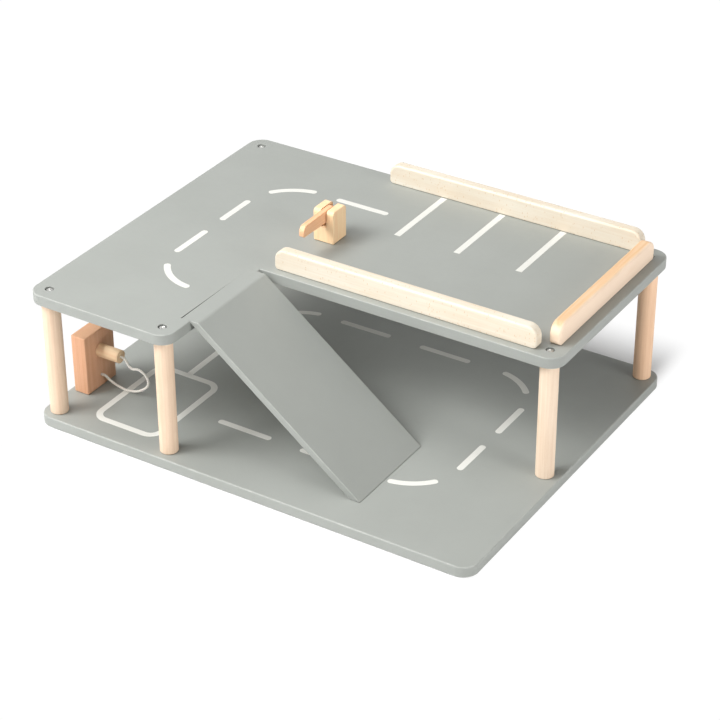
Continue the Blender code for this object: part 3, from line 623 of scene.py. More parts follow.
def timber_group():
    """Wood with its grain along X: growth rings, streaks, pores along the grain and ray flecks."""
    tree, given, result = surface_group("Timber", ("Pale", "Deep"), TIMBER_MARKS)
    vector = given["Vector"]
    across = separate(vector)["Y"] + HEART_ACROSS
    above = separate(vector)["Z"] + HEART_ABOVE
    warp = noise(vector, (9, 42, 42), 2.0) - 0.5
    from_heart = maths("SQRT", across * across + above * above) + warp * HEART_WARP
    ring = maths("POWER", maths("SINE", from_heart * RING_TURN) * 0.5 + 0.5, 2.5)
    streak = ramp_up(noise(vector, (11, 330, 330), 4.0, 0.62), 0.32, 0.72)
    cloud = ramp_up(noise(vector, (16, 60, 60), 3.0), 0.3, 0.7)
    pore = ramp_up(noise(vector, (240, 2900, 2900), 1.0), 0.62, 0.74)
    cells = {"Vector": scaled(vector, (820, 300, 300)), "Scale": 1.0}
    cell = add(tree, "ShaderNodeTexVoronoi", cells, feature="F1")
    chosen = add(tree, "ShaderNodeSeparateColor", {"Color": cell["Color"]})
    ray = (1.0 - ramp_up(cell["Distance"], 0.12, 0.34)) * ramp_up(chosen, 0.72, 0.9)
    depth = cloud * 0.22
    for name, mark in zip(TIMBER_MARKS, (ring, streak, pore, ray)):
        depth += mark * given[name]
    colour = mix_colours(clamped(depth), given["Pale"], given["Deep"])
    fill(result, {"Color": colour, "Roughness": streak * 0.12 + 0.5, "Height": streak * 0.5 - pore})
    return tree


def paint_group():
    """Rolled water-based paint: faint clouds, fine stipple, tiny specks, and lighter arrises that are
    partly thinner worn paint and partly a painted highlight.
    """
    tree, given, result = surface_group("Rolled paint", ("Paint", "Cloud", "Worn"), ("Arris",))
    vector = given["Vector"]
    cloud = ramp_up(noise(vector, (14, 14, 14), 4.0, 0.6), 0.3, 0.7)
    stipple = noise(vector, (900, 900, 900), 2.0, 0.6)
    roller = noise(vector, (160, 260, 260), 3.0, 0.55)
    speck = ramp_up(noise(vector, (2100, 2100, 2100), 0.0), 0.78, 0.84)
    wear_and_highlight = ramp_up(noise(vector, (70, 70, 70), 4.0, 0.7), 0.42, 0.72)
    colour = mix_colours(cloud, given["Paint"], given["Cloud"])
    # Lighter arrises: partly worn paint, partly a painted highlight
    colour = mix_colours(given["Arris"] * (wear_and_highlight * 0.5 + 0.12), colour, given["Worn"])
    colour = mix_colours(speck * 0.25, colour, given["Worn"])
    fill(result, {"Color": colour, "Roughness": roller * 0.16 + 0.38, "Height": stipple + roller * 0.8})
    return tree


# Materials

def new_material(name):
    """Material with a Principled shader: the material, its tree and the shader."""
    material = bpy.data.materials.new(name)
    material.use_nodes = True
    tree = material.node_tree
    return material, tree, tree.nodes["Principled BSDF"]


def coat(shader, colour, roughness, height, depth, strength=1.0, others=()):
    """Give a shader its colour, its roughness, a relief of a depth and other inputs."""
    relief = {"Height": height, "Strength": strength, "Distance": depth}
    normal = add(shader.id_data, "ShaderNodeBump", relief)
    fill(shader.inputs, {"Base Color": colour, "Roughness": roughness, "Normal": normal, **dict(others)})


def surface(shader, group, inputs, depth):
    """Coat a shader with a group's colour, roughness and height."""
    made = add(shader.id_data, "ShaderNodeGroup", inputs, node_tree=group)
    looks = [made[name] for name in ("Color", "Roughness", "Height")]
    coat(shader, *looks, depth, others={"Specular IOR Level": SATIN_SPECULAR})


def timber_material(name, group):
    """Wood with its grain along one axis of the garage."""
    grain, pale, deep, marks = WOODS[name]
    material, tree, shader = new_material(name)
    turn = {"Rotation": GRAIN_TURNS[grain], "Location": GRAIN_SHIFTS.get(name, (0, 0, 0))}
    vector = add(tree, "ShaderNodeMapping", {"Vector": object_place(tree), **turn})
    inputs = {"Vector": vector, "Pale": (*pale, 1), "Deep": (*deep, 1), **dict(zip(TIMBER_MARKS, marks))}
    surface(shader, group, inputs, TIMBER_RELIEF)
    return material


def base_colour(material):
    """A material's shader inputs, and the colour that they are linked to."""
    inputs = material.node_tree.nodes["Principled BSDF"].inputs
    return inputs, Value(inputs["Base Color"].links[0].from_socket)


def paint_light_on_right_face(material, face):
    """Painted light: let a wood turn paler towards its face on the +X side, standing in for the light from
    the right that falls on that face.
    """
    inputs, wood = base_colour(material)
    place = object_place(wood.tree)
    across = separate(place)["X"] + noise(place, (60, 25, 60)) * RIGHT_FACE_LIGHT_BLEND
    share = ramp_up(across, face - RIGHT_FACE_LIGHT_BLEND / 2, face + RIGHT_FACE_LIGHT_BLEND / 2)
    fill(inputs, {"Base Color": mix_colours(share * RIGHT_FACE_LIGHT_SHARE, wood, RIGHT_FACE_PAINTED_LIGHT)})


def show_end_grain(material, axis, side, end_grain):
    """Give the end grain of a wooden piece its own colour, on the side that faces along an axis."""
    inputs, wood = base_colour(material)
    normal = add(wood.tree, "ShaderNodeNewGeometry")["Normal"]
    share = ramp_up(separate(normal)[axis] * side, *END_GRAIN_FACING) * END_GRAIN_SHARE
    fill(inputs, {"Base Color": mix_colours(share, wood, end_grain)})


def paint_light_on_legs(material):
    """Painted light: tint the legs at the back and the one at the right front, standing in for bounce light
    that the lamps miss there.
    """
    inputs, wood = base_colour(material)
    place = separate(object_place(wood.tree))
    leg_light = mix_colours(ramp_up(place["X"], *RIGHT_LEGS), WHITE, RIGHT_LEG_PAINTED_LIGHT)
    leg_light = mix_colours(ramp_up(place["Y"], *BACK_LEGS), leg_light, BACK_LEG_PAINTED_LIGHT)
    fill(inputs, {"Base Color": mix_colours(1.0, wood, leg_light, "MULTIPLY")})


def paint_material(name, paint, cloud, worn):
    """Satin paint that is lighter along the arrises, partly as thinner worn paint and partly as a painted
    highlight.
    """
    material, tree, shader = new_material(name)
    inputs = {"Vector": object_place(tree), "Arris": attribute(tree, "arris")}
    inputs.update({"Paint": (*paint, 1), "Cloud": (*cloud, 1), "Worn": (*worn, 1)})
    surface(shader, paint_group(), inputs, 0.02 * MM)
    return material


def line_material():
    """Matt off-white printed road line with the print's fine dots."""
    material, tree, shader = new_material("road line print")
    vector = object_place(tree)
    dots = ramp_up(noise(vector, (1300, 1300, 1300), 1.0), 0.6, 0.72)
    patches = ramp_up(noise(vector, (60, 60, 60), 3.0), 0.35, 0.75)
    worn = dots * (patches * 0.25 + 0.12)
    colour = mix_colours(worn, (0.72, 0.715, 0.67, 1), (0.42, 0.42, 0.39, 1))
    coat(shader, colour, patches * 0.15 + 0.6, dots, 0.01 * MM, 0.6)
    return material


def steel_material():
    """Bright zinc-plated steel with fine scratches, a dull mottle and painted shade on the rims of the deck
    screws' heads, where their recesses shade them.
    """
    material, tree, shader = new_material("zinc plated steel")
    vector = object_place(tree)
    mottle = ramp_up(noise(vector, (900, 900, 900), 3.0), 0.3, 0.7)
    scratch = noise(vector, (4200, 500, 500), 2.0)
    colour = mix_colours(mottle, (0.80, 0.80, 0.78, 1), (0.64, 0.64, 0.62, 1))
    # Painted shade: the rims of the deck screws' heads turn dark, where their recesses shade them
    colour = mix_colours(attribute(tree, "tarnish"), colour, (0.14, 0.14, 0.13, 1))
    coat(shader, colour, mottle * 0.18 + 0.26, scratch, 0.01 * MM, 0.5, {"Metallic": 1.0})
    return material


def cotton_material():
    """Off-white twisted cotton with fine fibres that follow the strands, and painted shade in the grooves
    between the strands.
    """
    material, tree, shader = new_material("twisted cotton")
    fibres = noise(add(tree, "ShaderNodeUVMap", uv_map="strand"), (60, 14, 1), 4.0, 0.7)
    # Painted shade: darker in the grooves between the strands
    dark = clamped(attribute(tree, "hollow") * 0.55 + fibres * 0.25)
    colour = mix_colours(dark, (0.90, 0.87, 0.81, 1), (0.60, 0.55, 0.47, 1))
    coat(shader, colour, 0.9, fibres, 0.08 * MM, 0.7, {"Sheen Weight": 0.3, "Sheen Roughness": 0.5})
    return material


# The last colour is that of the lighter arrises: partly worn paint, partly a painted highlight
GREY_PAINT = paint_material(
    "grey green paint", (0.312, 0.325, 0.303), (0.326, 0.339, 0.317), (0.45, 0.46, 0.43)
)
TIMBER = timber_group()
WOOD = {name: timber_material(name, TIMBER) for name in WOODS}
# Painted light: the side rail's right face is made paler, as if lit from the right
paint_light_on_right_face(WOOD["side rail beech"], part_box("side_rail")[1].x)
show_end_grain(WOOD["side rail beech"], "Y", -1, RAIL_END_GRAIN)
show_end_grain(WOOD["block hardwood"], "Z", 1, BLOCK_END_GRAIN)
# Painted light on the legs at the back and at the right front
paint_light_on_legs(WOOD["leg beech"])
LINE_PRINT = line_material()
STEEL = steel_material()
COTTON = cotton_material()


def finish_piece(obj, material, slot, *replaced, body=BODY):
    """Smooth a piece, give it its material and let it ride on its body."""
    obj.data.materials.clear()
    obj.data.materials.append(material)
    obj.data.shade_smooth()
    obj.data.set_sharp_from_angle(angle=SMOOTH_ANGLE)
    apply(obj, "WEIGHTED_NORMAL", keep_sharp=True, weight=NORMAL_WEIGHT)
    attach(obj, body)
    if replaced:
        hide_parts(*replaced)
    return obj


# Boards

def leg_recesses(face, depth, turn):
    """Recesses of the leg screws in one face of a board."""
    return [(screw_recess(depth), placed((*place, face), turn)) for place in LEG_PLACES]


def base_board():
    """Lower board with its recesses and countersinks underneath."""
    outline = rectangle(LEFT, RIGHT, FRONT, BACK, BOARD_CORNER_RADIUS, BOARD_CORNER_RADIUS)
    board = slab("base_board", outline, BASE_TOP, placed((0, 0, BASE_TOP / 2)), BOARD_ARRIS)
    holes = leg_recesses(0, BASE_TOP, DOWNWARD)
    holes += countersinks(RAMP_SCREWS + BLOCK_SCREWS, 0, BASE_TOP)
    cut(board, holes)
    finish_piece(board, GREY_PAINT, "grey_paint", "base_deck")


def lip_rebate():
    """Rebate in the wing's edge for the ramp's lip, with a seam that opens towards the front."""
    front = RAMP.low.y - LIP_CLEARANCE
    back = RAMP.high.y + LIP_CLEARANCE
    tight = RAMP.low.x - LIP_CLEARANCE
    outline = (
        (WING_EDGE + CUT_OVER, front),
        (WING_EDGE + CUT_OVER, back),
        (tight, back),
        (tight, RAMP.low.y + LIP_SEAM_SHARE * RAMP.size.y),
        (RAMP.low.x - LIP_SEAM, front),
    )
    floor = DECK_TOP - RAMP_LIP_THICKNESS - SEAT_GAP
    depth = DECK_TOP + CUT_OVER - floor
    return slab("lip_rebate", outline, depth, placed((0, 0, floor + depth / 2)))


def upper_board():
    """L-shaped upper board with recesses on top and a rebate for the ramp's lip."""
    radius = BOARD_CORNER_RADIUS
    outline = rounded_outline(
        (
            (LEFT, FRONT, radius),
            (WING_EDGE, FRONT, radius),
            (WING_EDGE, NOTCH_EDGE, NOTCH_CORNER_RADIUS),
            (RIGHT, NOTCH_EDGE, radius),
            (RIGHT, BACK, radius),
            (LEFT, BACK, radius),
        )
    )
    middle = placed((0, 0, DECK_BOTTOM + DECK_THICKNESS / 2))
    board = slab("upper_board", outline, DECK_THICKNESS, middle, BOARD_ARRIS)
    holes = leg_recesses(DECK_TOP, DECK_THICKNESS, UPWARD)
    holes += countersinks([*RAIL_SCREWS, "boom_post_screw"], DECK_BOTTOM, DECK_THICKNESS)
    cut(board, holes)
    subtract(board, lip_rebate())
    finish_piece(board, GREY_PAINT, "grey_paint", "upper_deck")


def sloping_board():
    """Ramp with a thin level lip, a softly rounded crease and a level foot."""
    low, high = RAMP.low, RAMP.high
    crease = low.x + RAMP_LIP_LENGTH
    slope = math.atan2(RAMP.size.z, high.x - crease)
    level = RAMP_THICKNESS / math.sin(slope)
    lip_bottom = high.z - RAMP_LIP_THICKNESS
    knee = crease - level + RAMP_LIP_THICKNESS / math.tan(slope)
    outline = rounded_outline(
        (
            (low.x, high.z, 0),
            (low.x, lip_bottom, 0),
            (knee, lip_bottom, 0),
            (high.x - level, low.z, 0),
            (high.x, low.z, 0),
            (crease, high.z, RAMP_CREASE_RADIUS),
        ),
        steps=8,
    )
    place = placed((0, RAMP.middle.y, 0), STANDING_ALONG_X)

    def past_lip(edge):
        return min(vert.co.x for vert in edge.verts) > knee + LIP_CLEARANCE

    board = slab("sloping_board", outline, RAMP.size.y, place, RAMP_ARRIS, segments=4, eased=past_lip)
    cut(board, pilot_holes(RAMP_SCREWS, low.z))
    finish_piece(board, GREY_PAINT, "grey_paint", "ramp")


# Geometry trees, for what repeats

def geometry_tree(name, inputs):
    """Empty geometry tree with named inputs beside its geometry."""
    return new_tree(name, "Geometry", {"Geometry": "Geometry", **inputs}, {"Geometry": "Geometry"})


def change(geometry, kind, inputs=(), **settings):
    """Geometry after one more geometry node, with the node's other inputs and its settings."""
    return add(geometry.tree, "GeometryNode" + kind, {0: geometry, **dict(inputs)}, **settings)


def merged(geometry):
    """Geometry with its doubled points merged."""
    return change(geometry, "MergeByDistance", {"Distance": MERGE_REACH})


def finish_tree(geometry, given, result):
    """End a geometry tree: make its instances real and give them the material."""
    real = change(geometry, "RealizeInstances")
    fill(result, {"Geometry": change(real, "SetMaterial", {"Material": given["Material"]})})


def grow(name, tree, points, edges, values):
    """Run a geometry tree on points and edges, and keep its result as a plain mesh."""
    mesh = bpy.data.meshes.new(name)
    mesh.from_pydata(points, edges, [])
    obj = new_object(name, mesh)
    modifier = obj.modifiers.new(tree.name, "NODES")
    modifier.node_group = tree
    for item in tree.interface.items_tree:
        if item.in_out == "INPUT" and item.name in values:
            modifier[item.identifier] = values[item.name]
    return settle(obj)


def recalculate(obj):
    """Point a closed mesh's faces outwards."""
    shape = bmesh.new()
    shape.from_mesh(obj.data)
    bmesh.ops.recalc_face_normals(shape, faces=shape.faces)
    shape.to_mesh(obj.data)
    shape.free()


# Legs and their screws

def between(index, middle):
    """1 where an index is one of the two either side of a middle value, and 0 elsewhere."""
    return maths("COMPARE", index, middle, 0.6)


def leg_tree():
    """Tree that stands a turned leg, with a pilot hole in each end, on every point.

    The profile's eight points run from the floor of the hole in the top, up its wall, down the
    leg's outside and up the wall of the hole in the foot to its floor.
    """
    inputs = dict.fromkeys(("Height", "Radius", "Hole radius", "Hole depth", "Arris"), "Float")
    tree, given, result = geometry_tree("Turned legs", {**inputs, "Sides": "Int", "Material": "Material"})
    index = add(tree, "GeometryNodeInputIndex")
    outside = between(index, 3.5)
    in_holes = between(index, 1.5) + between(index, 5.5)
    radius = outside * given["Radius"] + in_holes * given["Hole radius"]
    sunk = maths("GREATER_THAN", index, 5.5) - maths("LESS_THAN", index, 1.5)
    height = maths("LESS_THAN", index, 3.5) * given["Height"] + sunk * given["Hole depth"]
    place = add(tree, "ShaderNodeCombineXYZ", {"X": radius, "Y": height * -1.0})
    points = add(tree, "GeometryNodeMeshLine", {"Count": 8})
    profile = change(change(points, "SetPosition", {"Position": place}), "MeshToCurve")
    rounding = {"Radius": outside * given["Arris"], "Count": 5}
    profile = change(profile, "FilletCurve", rounding, mode="POLY")
    circle = {"Resolution": given["Sides"], "Radius": AXIS_RADIUS}
    axis = add(tree, "GeometryNodeCurvePrimitiveCircle", circle)
    axis = change(axis, "SetCurveNormal", mode="Z_UP")
    leg = merged(change(axis, "CurveToMesh", {"Profile Curve": profile}))
    finish_tree(change(given["Geometry"], "InstanceOnPoints", {"Instance": leg}), given, result)
    return tree


def turned_legs():
    """All five legs, on their seats on the base."""
    leg = Box("leg_front_left")
    feet = [(*place, leg.low.z) for place in LEG_PLACES]
    values = {
        "Height": leg.size.z,
        "Radius": leg.size.x / 2,
        "Hole radius": DECK_SCREW_BORE,
        "Hole depth": leg.high.z - Box("deck_screw_front_left").low.z + SEAT_GAP,
        "Arris": LEG_ARRIS,
        "Sides": LEG_SIDES,
        "Material": WOOD["leg beech"],
    }
    legs = grow("turned_legs", leg_tree(), feet, [], values)
    recalculate(legs)
    finish_piece(legs, WOOD["leg beech"], "pale_beech", *["leg_" + name for name in LEG_NAMES])


def cross_cutter(top):
    """Cross that narrows as it goes down into a screw's head."""
    shape = bmesh.new()
    rings = []
    for share, height in ((1.0, top + CUT_OVER), (1.0, top), (CROSS_TAPER, top - CROSS_DEPTH)):
        arm = CROSS_SPAN / 2 * share
        half = CROSS_WIDTH / 2 * (1 + share) / 2
        ring = []
        for quarter in range(4):
            turn = Matrix.Rotation(math.radians(90) * quarter, 2)
            for corner in ((arm, -half), (arm, half), (half, half)):
                ring.append(shape.verts.new((*(turn @ Vector(corner)), height)))
        rings.append(ring)
    tube(shape, rings)
    return from_shape("cross_cutter", shape)


def screw_pattern():
    """Deck screw with its origin under its head: a domed head with a cross and a shank."""
    head = DECK_SCREW_HEAD_DIAMETER / 2
    top = DECK_SCREW_HEAD_HEIGHT
    shank = DECK_SCREW_DIAMETER / 2
    profile = [(0, top), *rim(head, top, SCREW_HEAD_EDGE, 6), (head, 0), (shank, 0)]
    profile += [(shank, SCREW_TIP - DECK_SCREW_LENGTH), (0, -DECK_SCREW_LENGTH)]
    screw = subtract(turned("screw_pattern", profile, SCREW_SIDES), cross_cutter(top))
    # Painted shade: each point of the head darkens from part way out to its rim, where the recess shades it
    tarnish = screw.data.attributes.new("tarnish", "FLOAT", "POINT")
    for vert, mark in zip(screw.data.vertices, tarnish.data):
        reach = vert.co.xy.length / head
        mark.value = min(1.0, max(0.0, (reach - PAINTED_RIM_SHADE_FROM) / (PAINTED_RIM_SHADE_TO - PAINTED_RIM_SHADE_FROM)))
    return screw


def screw_tree():
    """Tree that drives a screw at every point, each turned at random, all tilted alike."""
    inputs = {"Screw": "Object", "Upside down": "Float", "Seed": "Int", "Material": "Material"}
    tree, given, result = geometry_tree("Driven screws", inputs)
    pattern = add(tree, "GeometryNodeObjectInfo", {"Object": given["Screw"]})["Geometry"]
    spins = {2: 0.0, 3: math.radians(90), "Seed": given["Seed"]}
    spin = add(tree, "FunctionNodeRandomValue", spins, data_type="FLOAT")[1]
    tilt = given["Upside down"] * math.pi
    rotation = add(tree, "ShaderNodeCombineXYZ", {"X": tilt, "Z": spin})
    driven = {"Instance": pattern, "Rotation": rotation}
    finish_tree(change(given["Geometry"], "InstanceOnPoints", driven), given, result)
    return tree


def leg_screws():
    """Screws down through the upper board and up through the base."""
    pattern = screw_pattern()
    tree = screw_tree()
    floor = DECK_SCREW_SUNK + DECK_SCREW_HEAD_HEIGHT
    for name, height, turned_over in (("deck_screw", DECK_TOP - floor, 0.0), ("base_screw", floor, 1.0)):
        points = [(*place, height) for place in LEG_PLACES]
        values = {"Screw": pattern, "Upside down": turned_over, "Seed": SCREW_SEED, "Material": STEEL}
        screws = grow(name + "s", tree, points, [], values)
        finish_piece(screws, STEEL, "screw_steel", *[name + "_" + leg for leg in LEG_NAMES])
    bpy.data.objects.remove(pattern, do_unlink=True)


# Rails

def round_edges(obj):
    """Round a rail's long edges, lying on its side: fully above and only slightly along its foot."""
    shape = bmesh.new()
    shape.from_mesh(obj.data)
    weight = shape.edges.layers.float.new("bevel_weight_edge")
    foot = RAIL_FOOT_ARRIS / RAIL_ARRIS
    for edge in shape.edges:
        if edge.calc_face_angle(0) > SHARP_ANGLE:
            height = sum(vert.co.y for vert in edge.verts) / 2
            edge[weight] = foot + (1 - foot) * min(height / RAIL_FOOT_RADIUS, 1.0)
    shape.to_mesh(obj.data)
    shape.free()
    apply(obj, "BEVEL", limit_method="WEIGHT", width=RAIL_ARRIS, segments=8)


def rail(name, node, material, turn):
    """Rail with round upper ends, standing on its screws along X or Y."""
    box = Box(node)
    half = max(box.size.x, box.size.y) / 2
    outline = rectangle(-half, half, 0, box.size.z, RAIL_FOOT_RADIUS, RAIL_END_RADIUS)
    obj = slab(name, outline, min(box.size.x, box.size.y))
    round_edges(obj)
    obj.data.transform(placed((*box.middle.xy, box.low.z), turn))
    screws = []
    for screw in RAIL_SCREWS:
        x, y, _ = Box(screw).middle
        if box.low.x < x < box.high.x and box.low.y < y < box.high.y:
            screws.append(screw)
    cut(obj, pilot_holes(screws, box.low.z))
    finish_piece(obj, material, "cream_beech", node)


def rails():
    """The three rails of the parking deck."""
    rail("back_stop", "back_rail", WOOD["rail beech"], STANDING_ALONG_X)
    rail("front_stop", "front_rail", WOOD["rail beech"], STANDING_ALONG_X)
    rail("side_stop", "side_rail", WOOD["side rail beech"], STANDING_ALONG_Y)


# Boom gate

def gate_fork(post):
    """Slot between the gate post's cheeks, with slightly rounded corners along its floor."""
    shape = bmesh.new()
    floor = DECK_TOP + FORK_FLOOR
    height = 2 * (post.high.z - floor)
    size = Matrix.Diagonal((FORK_WIDTH, 2 * post.size.y, height, 1))
    bmesh.ops.create_cube(shape, size=1, matrix=placed((*post.middle.xy, floor + height / 2)) @ size)
    corners = []
    for edge in shape.edges:
        ends = [vert.co for vert in edge.verts]
        if all(end.z < post.high.z for end in ends) and abs(ends[0].y - ends[1].y) > post.size.y / 2:
            corners.append(edge)
    bevel(shape, corners, FORK_FLOOR_RADIUS, 3)
    return from_shape("fork", shape)


def gate_post():
    """Forked post with the pin's bore, blind in its right cheek."""
    box = Box("boom_post")
    low, size = box.low, box.size
    outline = rectangle(-size.y / 2, size.y / 2, 0, size.z, POST_FOOT_RADIUS, POST_TOP_RADIUS)
    place = placed((*box.middle.xy, low.z), STANDING_ALONG_Y)
    post = slab("gate_post", outline, size.x, place, POST_ARRIS)
    subtract(post, gate_fork(box))
    bore = blind_hole(PIN_RADIUS + BORE_CLEARANCE, PIN.high.x + SEAT_GAP - low.x)
    holes = [(bore, placed((low.x, *PIN.middle.yz), LEFTWARD))]
    cut(post, holes + pilot_holes(["boom_post_screw"], low.z))
    finish_piece(post, WOOD["post beech"], "warm_beech", "boom_post")


def gate_arm():
    """Arm with a round heel on the pin and a round nose."""
    box = Box("boom_arm")
    half = box.size.z / 2
    heel = half - ARM_HEEL_FLAT
    tip = half - box.size.y
    outline = rounded_outline(
        (
            (tip, ARM_TIP_RISE - half, ARM_CHIN_RADIUS),
            (half, -half, heel),
            (half, half, heel),
            (tip, half, ARM_NOSE_RADIUS),
        )
    )
    place = (box.middle.x, box.high.y - half, box.middle.z)
    arm = slab("gate_arm", outline, box.size.x, placed(place, STANDING_ALONG_Y), ARM_ARRIS, segments=4)
    reach = box.size.x
    radius = PIN_RADIUS + BORE_CLEARANCE
    bore = ((0, reach), (radius, reach), (radius, -reach), (0, -reach))
    cut(arm, [(bore, placed(place, RIGHTWARD))])
    finish_piece(arm, WOOD["arm beech"], "warm_beech", "boom_arm", body="boom")


def gate_pin():
    """Steel pin with slightly rounded ends."""
    half = PIN.size.x / 2
    end = [(0, half), *rim(PIN_RADIUS, half, PIN_EDGE, 4)]
    pin = turned("gate_pin", end + upside_down(end), PIN_SIDES, placed(PIN.middle, RIGHTWARD))
    finish_piece(pin, STEEL, "screw_steel", "boom_pin")


# Charging post

def on_block_face(height):
    """Matrix of a place on the block's face, at a height over the base, that points out of it."""
    return placed(BLOCK_FACE + Vector((0, 0, height)), RIGHTWARD)


def charging_block():
    """Upright block with the plug's socket and the cord's hole."""
    x, y, height = BLOCK.size
    outline = rectangle(-x / 2, x / 2, -y / 2, y / 2)
    block = slab("charging_block", outline, height, placed(BLOCK.middle), BLOCK_ARRIS)
    holes = [
        (blind_hole(PLUG_RADIUS + BORE_CLEARANCE, SOCKET_DEPTH, SOCKET_FLARE), on_block_face(PLUG_HEIGHT)),
        (blind_hole(CORD_BORE, CORD_BORE_DEPTH), on_block_face(CORD_HOLE_HEIGHT)),
    ]
    cut(block, holes + pilot_holes(BLOCK_SCREWS, BLOCK.low.z))
    finish_piece(block, WOOD["block hardwood"], "red_beech", "charger_block")


def plug():
    """Short dowel with rounded rims and the cord's hole in its outer end."""
    inner = PLUG.low.x - BLOCK.high.x
    profile = [
        (0, PLUG_GRIP - CORD_BORE_DEPTH),
        (CORD_BORE, PLUG_GRIP - CORD_BORE_DEPTH),
        (CORD_BORE, PLUG_GRIP - PLUG_HOLE_FLARE),
        (CORD_BORE + PLUG_HOLE_FLARE, PLUG_GRIP),
        *rim(PLUG_RADIUS, PLUG_GRIP, PLUG_ARRIS, 5),
        *upside_down(rim(PLUG_RADIUS, -inner, PLUG_ARRIS, 5)),
        (0, inner),
    ]
    obj = turned("plug", profile, PLUG_SIDES, on_block_face(PLUG_HEIGHT))
    return finish_piece(obj, WOOD["plug beech"], "warm_beech", "charge_plug", body="plug")


def smooth_curve(points, fineness):
    """Close points on a smooth curve that passes through every given point."""
    ends = [2 * points[0] - points[1], *points, 2 * points[-1] - points[-2]]
    curve = []
    for before, start, end, after in zip(ends, ends[1:], ends[2:], ends[3:]):
        for step in range(fineness):
            t = step / fineness
            bend = 2 * before - 5 * start + 4 * end - after
            twist = 3 * start - before - 3 * end + after
            curve.append((2 * start + (end - before) * t + bend * t**2 + twist * t**3) / 2)
    return [*curve, points[-1]]


def cord_path():
    """Centre line of the cord, from inside the block to inside the plug."""
    inside = CORD_BORE_DEPTH - SEAT_GAP
    start = [(PLUG_GRIP + reach, 0, PLUG_HEIGHT) for reach in (-inside, 0, CORD_STRAIGHT)]
    route = [Vector(point) * MM for point in CORD_ROUTE]
    end = [(reach, 0, CORD_HOLE_HEIGHT) for reach in (CORD_STRAIGHT, 0, -inside)]
    points = [BLOCK_FACE + Vector(point) for point in (*start, *route, *end)]
    return smooth_curve(points, CORD_FINENESS)[::-1]


def steps_along(path):
    """Length of each step along a path."""
    return [(after - before).length for before, after in zip(path, path[1:])]


def even_path(path, step):
    """Points one even step apart along a path, with both of its ends."""
    lengths = steps_along(path)
    count = round(sum(lengths) / step)
    spacing = sum(lengths) / count
    points = [path[0]]
    travelled = 0
    for before, after, length in zip(path, path[1:], lengths):
        while len(points) < count and travelled + length >= spacing * len(points):
            points.append(before.lerp(after, (spacing * len(points) - travelled) / length))
        travelled += length
    return [*points, path[-1]]


def twisted_cord():
    """Cord of three strands laid round each other along its path."""
    path = even_path(cord_path(), CORD_STEP)
    shape = bmesh.new()
    hollow = shape.verts.layers.float.new("hollow")
    strand_map = shape.loops.layers.uv.new("strand")
    normal = Vector((0, 0, 1))
    rings = []
    reached = [0]
    for index, point in enumerate(path):
        before = path[max(index - 1, 0)]
        after = path[min(index + 1, len(path) - 1)]
        tangent = (after - before).normalized()
        normal = (normal - tangent * normal.dot(tangent)).normalized()
        side = tangent.cross(normal)
        lay = reached[-1] / CORD_LAY * math.tau
        ring = []
        for corner in range(CORD_SIDES):
            angle = math.tau * corner / CORD_SIDES
            crown = abs(math.cos(CORD_STRANDS / 2 * (angle - lay)))
            radius = CORD_DIAMETER / 2 * (1 - CORD_GROOVE + CORD_GROOVE * crown**0.7)
            vert = shape.verts.new(point + (normal * math.cos(angle) + side * math.sin(angle)) * radius)
            # Painted shade, stored per point: strongest in the grooves between the strands
            vert[hollow] = (1 - crown) ** 3
            ring.append(vert)
        rings.append(ring)
        reached.append(reached[-1] + (after - point).length)
    for face, row, corner in tube(shape, rings):
        start, end = reached[row : row + 2]
        places = ((corner, start), (corner + 1, start), (corner + 1, end), (corner, end))
        for loop, (column, along) in zip(face.loops, places):
            loop[strand_map].uv = (column / CORD_SIDES - along / CORD_LAY, along / CORD_DIAMETER)
    obj = from_shape("twisted_cord", shape)
    obj.data.materials.append(COTTON)
    obj.data.shade_smooth()
    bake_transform(obj)
    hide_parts("charge_cord")
    return obj, path, sum(steps_along(path))


# Road lines

def line_tree():
    """Tree that paints a line along every edge: filleted, with round or square ends."""
    inputs = dict.fromkeys(("Width", "Thickness", "Corner radius", "Round ends", "Step"), "Float")
    tree, given, result = geometry_tree("Road lines", {**inputs, "Material": "Material"})
    curve = change(given["Geometry"], "MeshToCurve")
    rounding = {"Radius": given["Corner radius"], "Count": 14}
    curve = change(curve, "FilletCurve", rounding, mode="POLY")
    curve = change(curve, "ResampleCurve", {"Length": given["Step"]}, mode="LENGTH")
    curve = change(curve, "SetCurveNormal", mode="Z_UP")
    along = add(tree, "GeometryNodeSplineParameter")["Length"]
    whole = add(tree, "GeometryNodeSplineLength")["Length"]
    half = given["Width"] * 0.5
    from_end = maths("MINIMUM", along, whole - along)
    short = clamped(1.0 - maths("DIVIDE", from_end, half)) * given["Round ends"]
    radius = maths("SQRT", 1.0 - short * short)
    left = add(tree, "ShaderNodeCombineXYZ", {"X": half * -1.0})
    right = add(tree, "ShaderNodeCombineXYZ", {"X": half})
    across = add(tree, "GeometryNodeCurvePrimitiveLine", {"Start": left, "End": right})
    ribbon = merged(change(curve, "CurveToMesh", {"Profile Curve": across, "Scale": radius}))
    up = add(tree, "ShaderNodeCombineXYZ", {"Z": given["Thickness"]})
    both = change(ribbon, "ExtrudeMesh", {"Offset": up, "Individual": False}, mode="FACES")
    both = change(both, "JoinGeometry")
    fill(both.socket.node.inputs, {0: change(ribbon, "FlipFaces")})
    finish_tree(merged(both), given, result)
    return tree


LINE_TREE = line_tree()


def arc_points(centre, radius, start, end, steps=24):
    """Points along an arc, in millimetres, between two angles in degrees."""
    points = []
    for step in range(steps + 1):
        angle = math.radians(start + (end - start) * step / steps)
        points.append((centre[0] + radius * math.cos(angle), centre[1] + radius * math.sin(angle)))
    return points


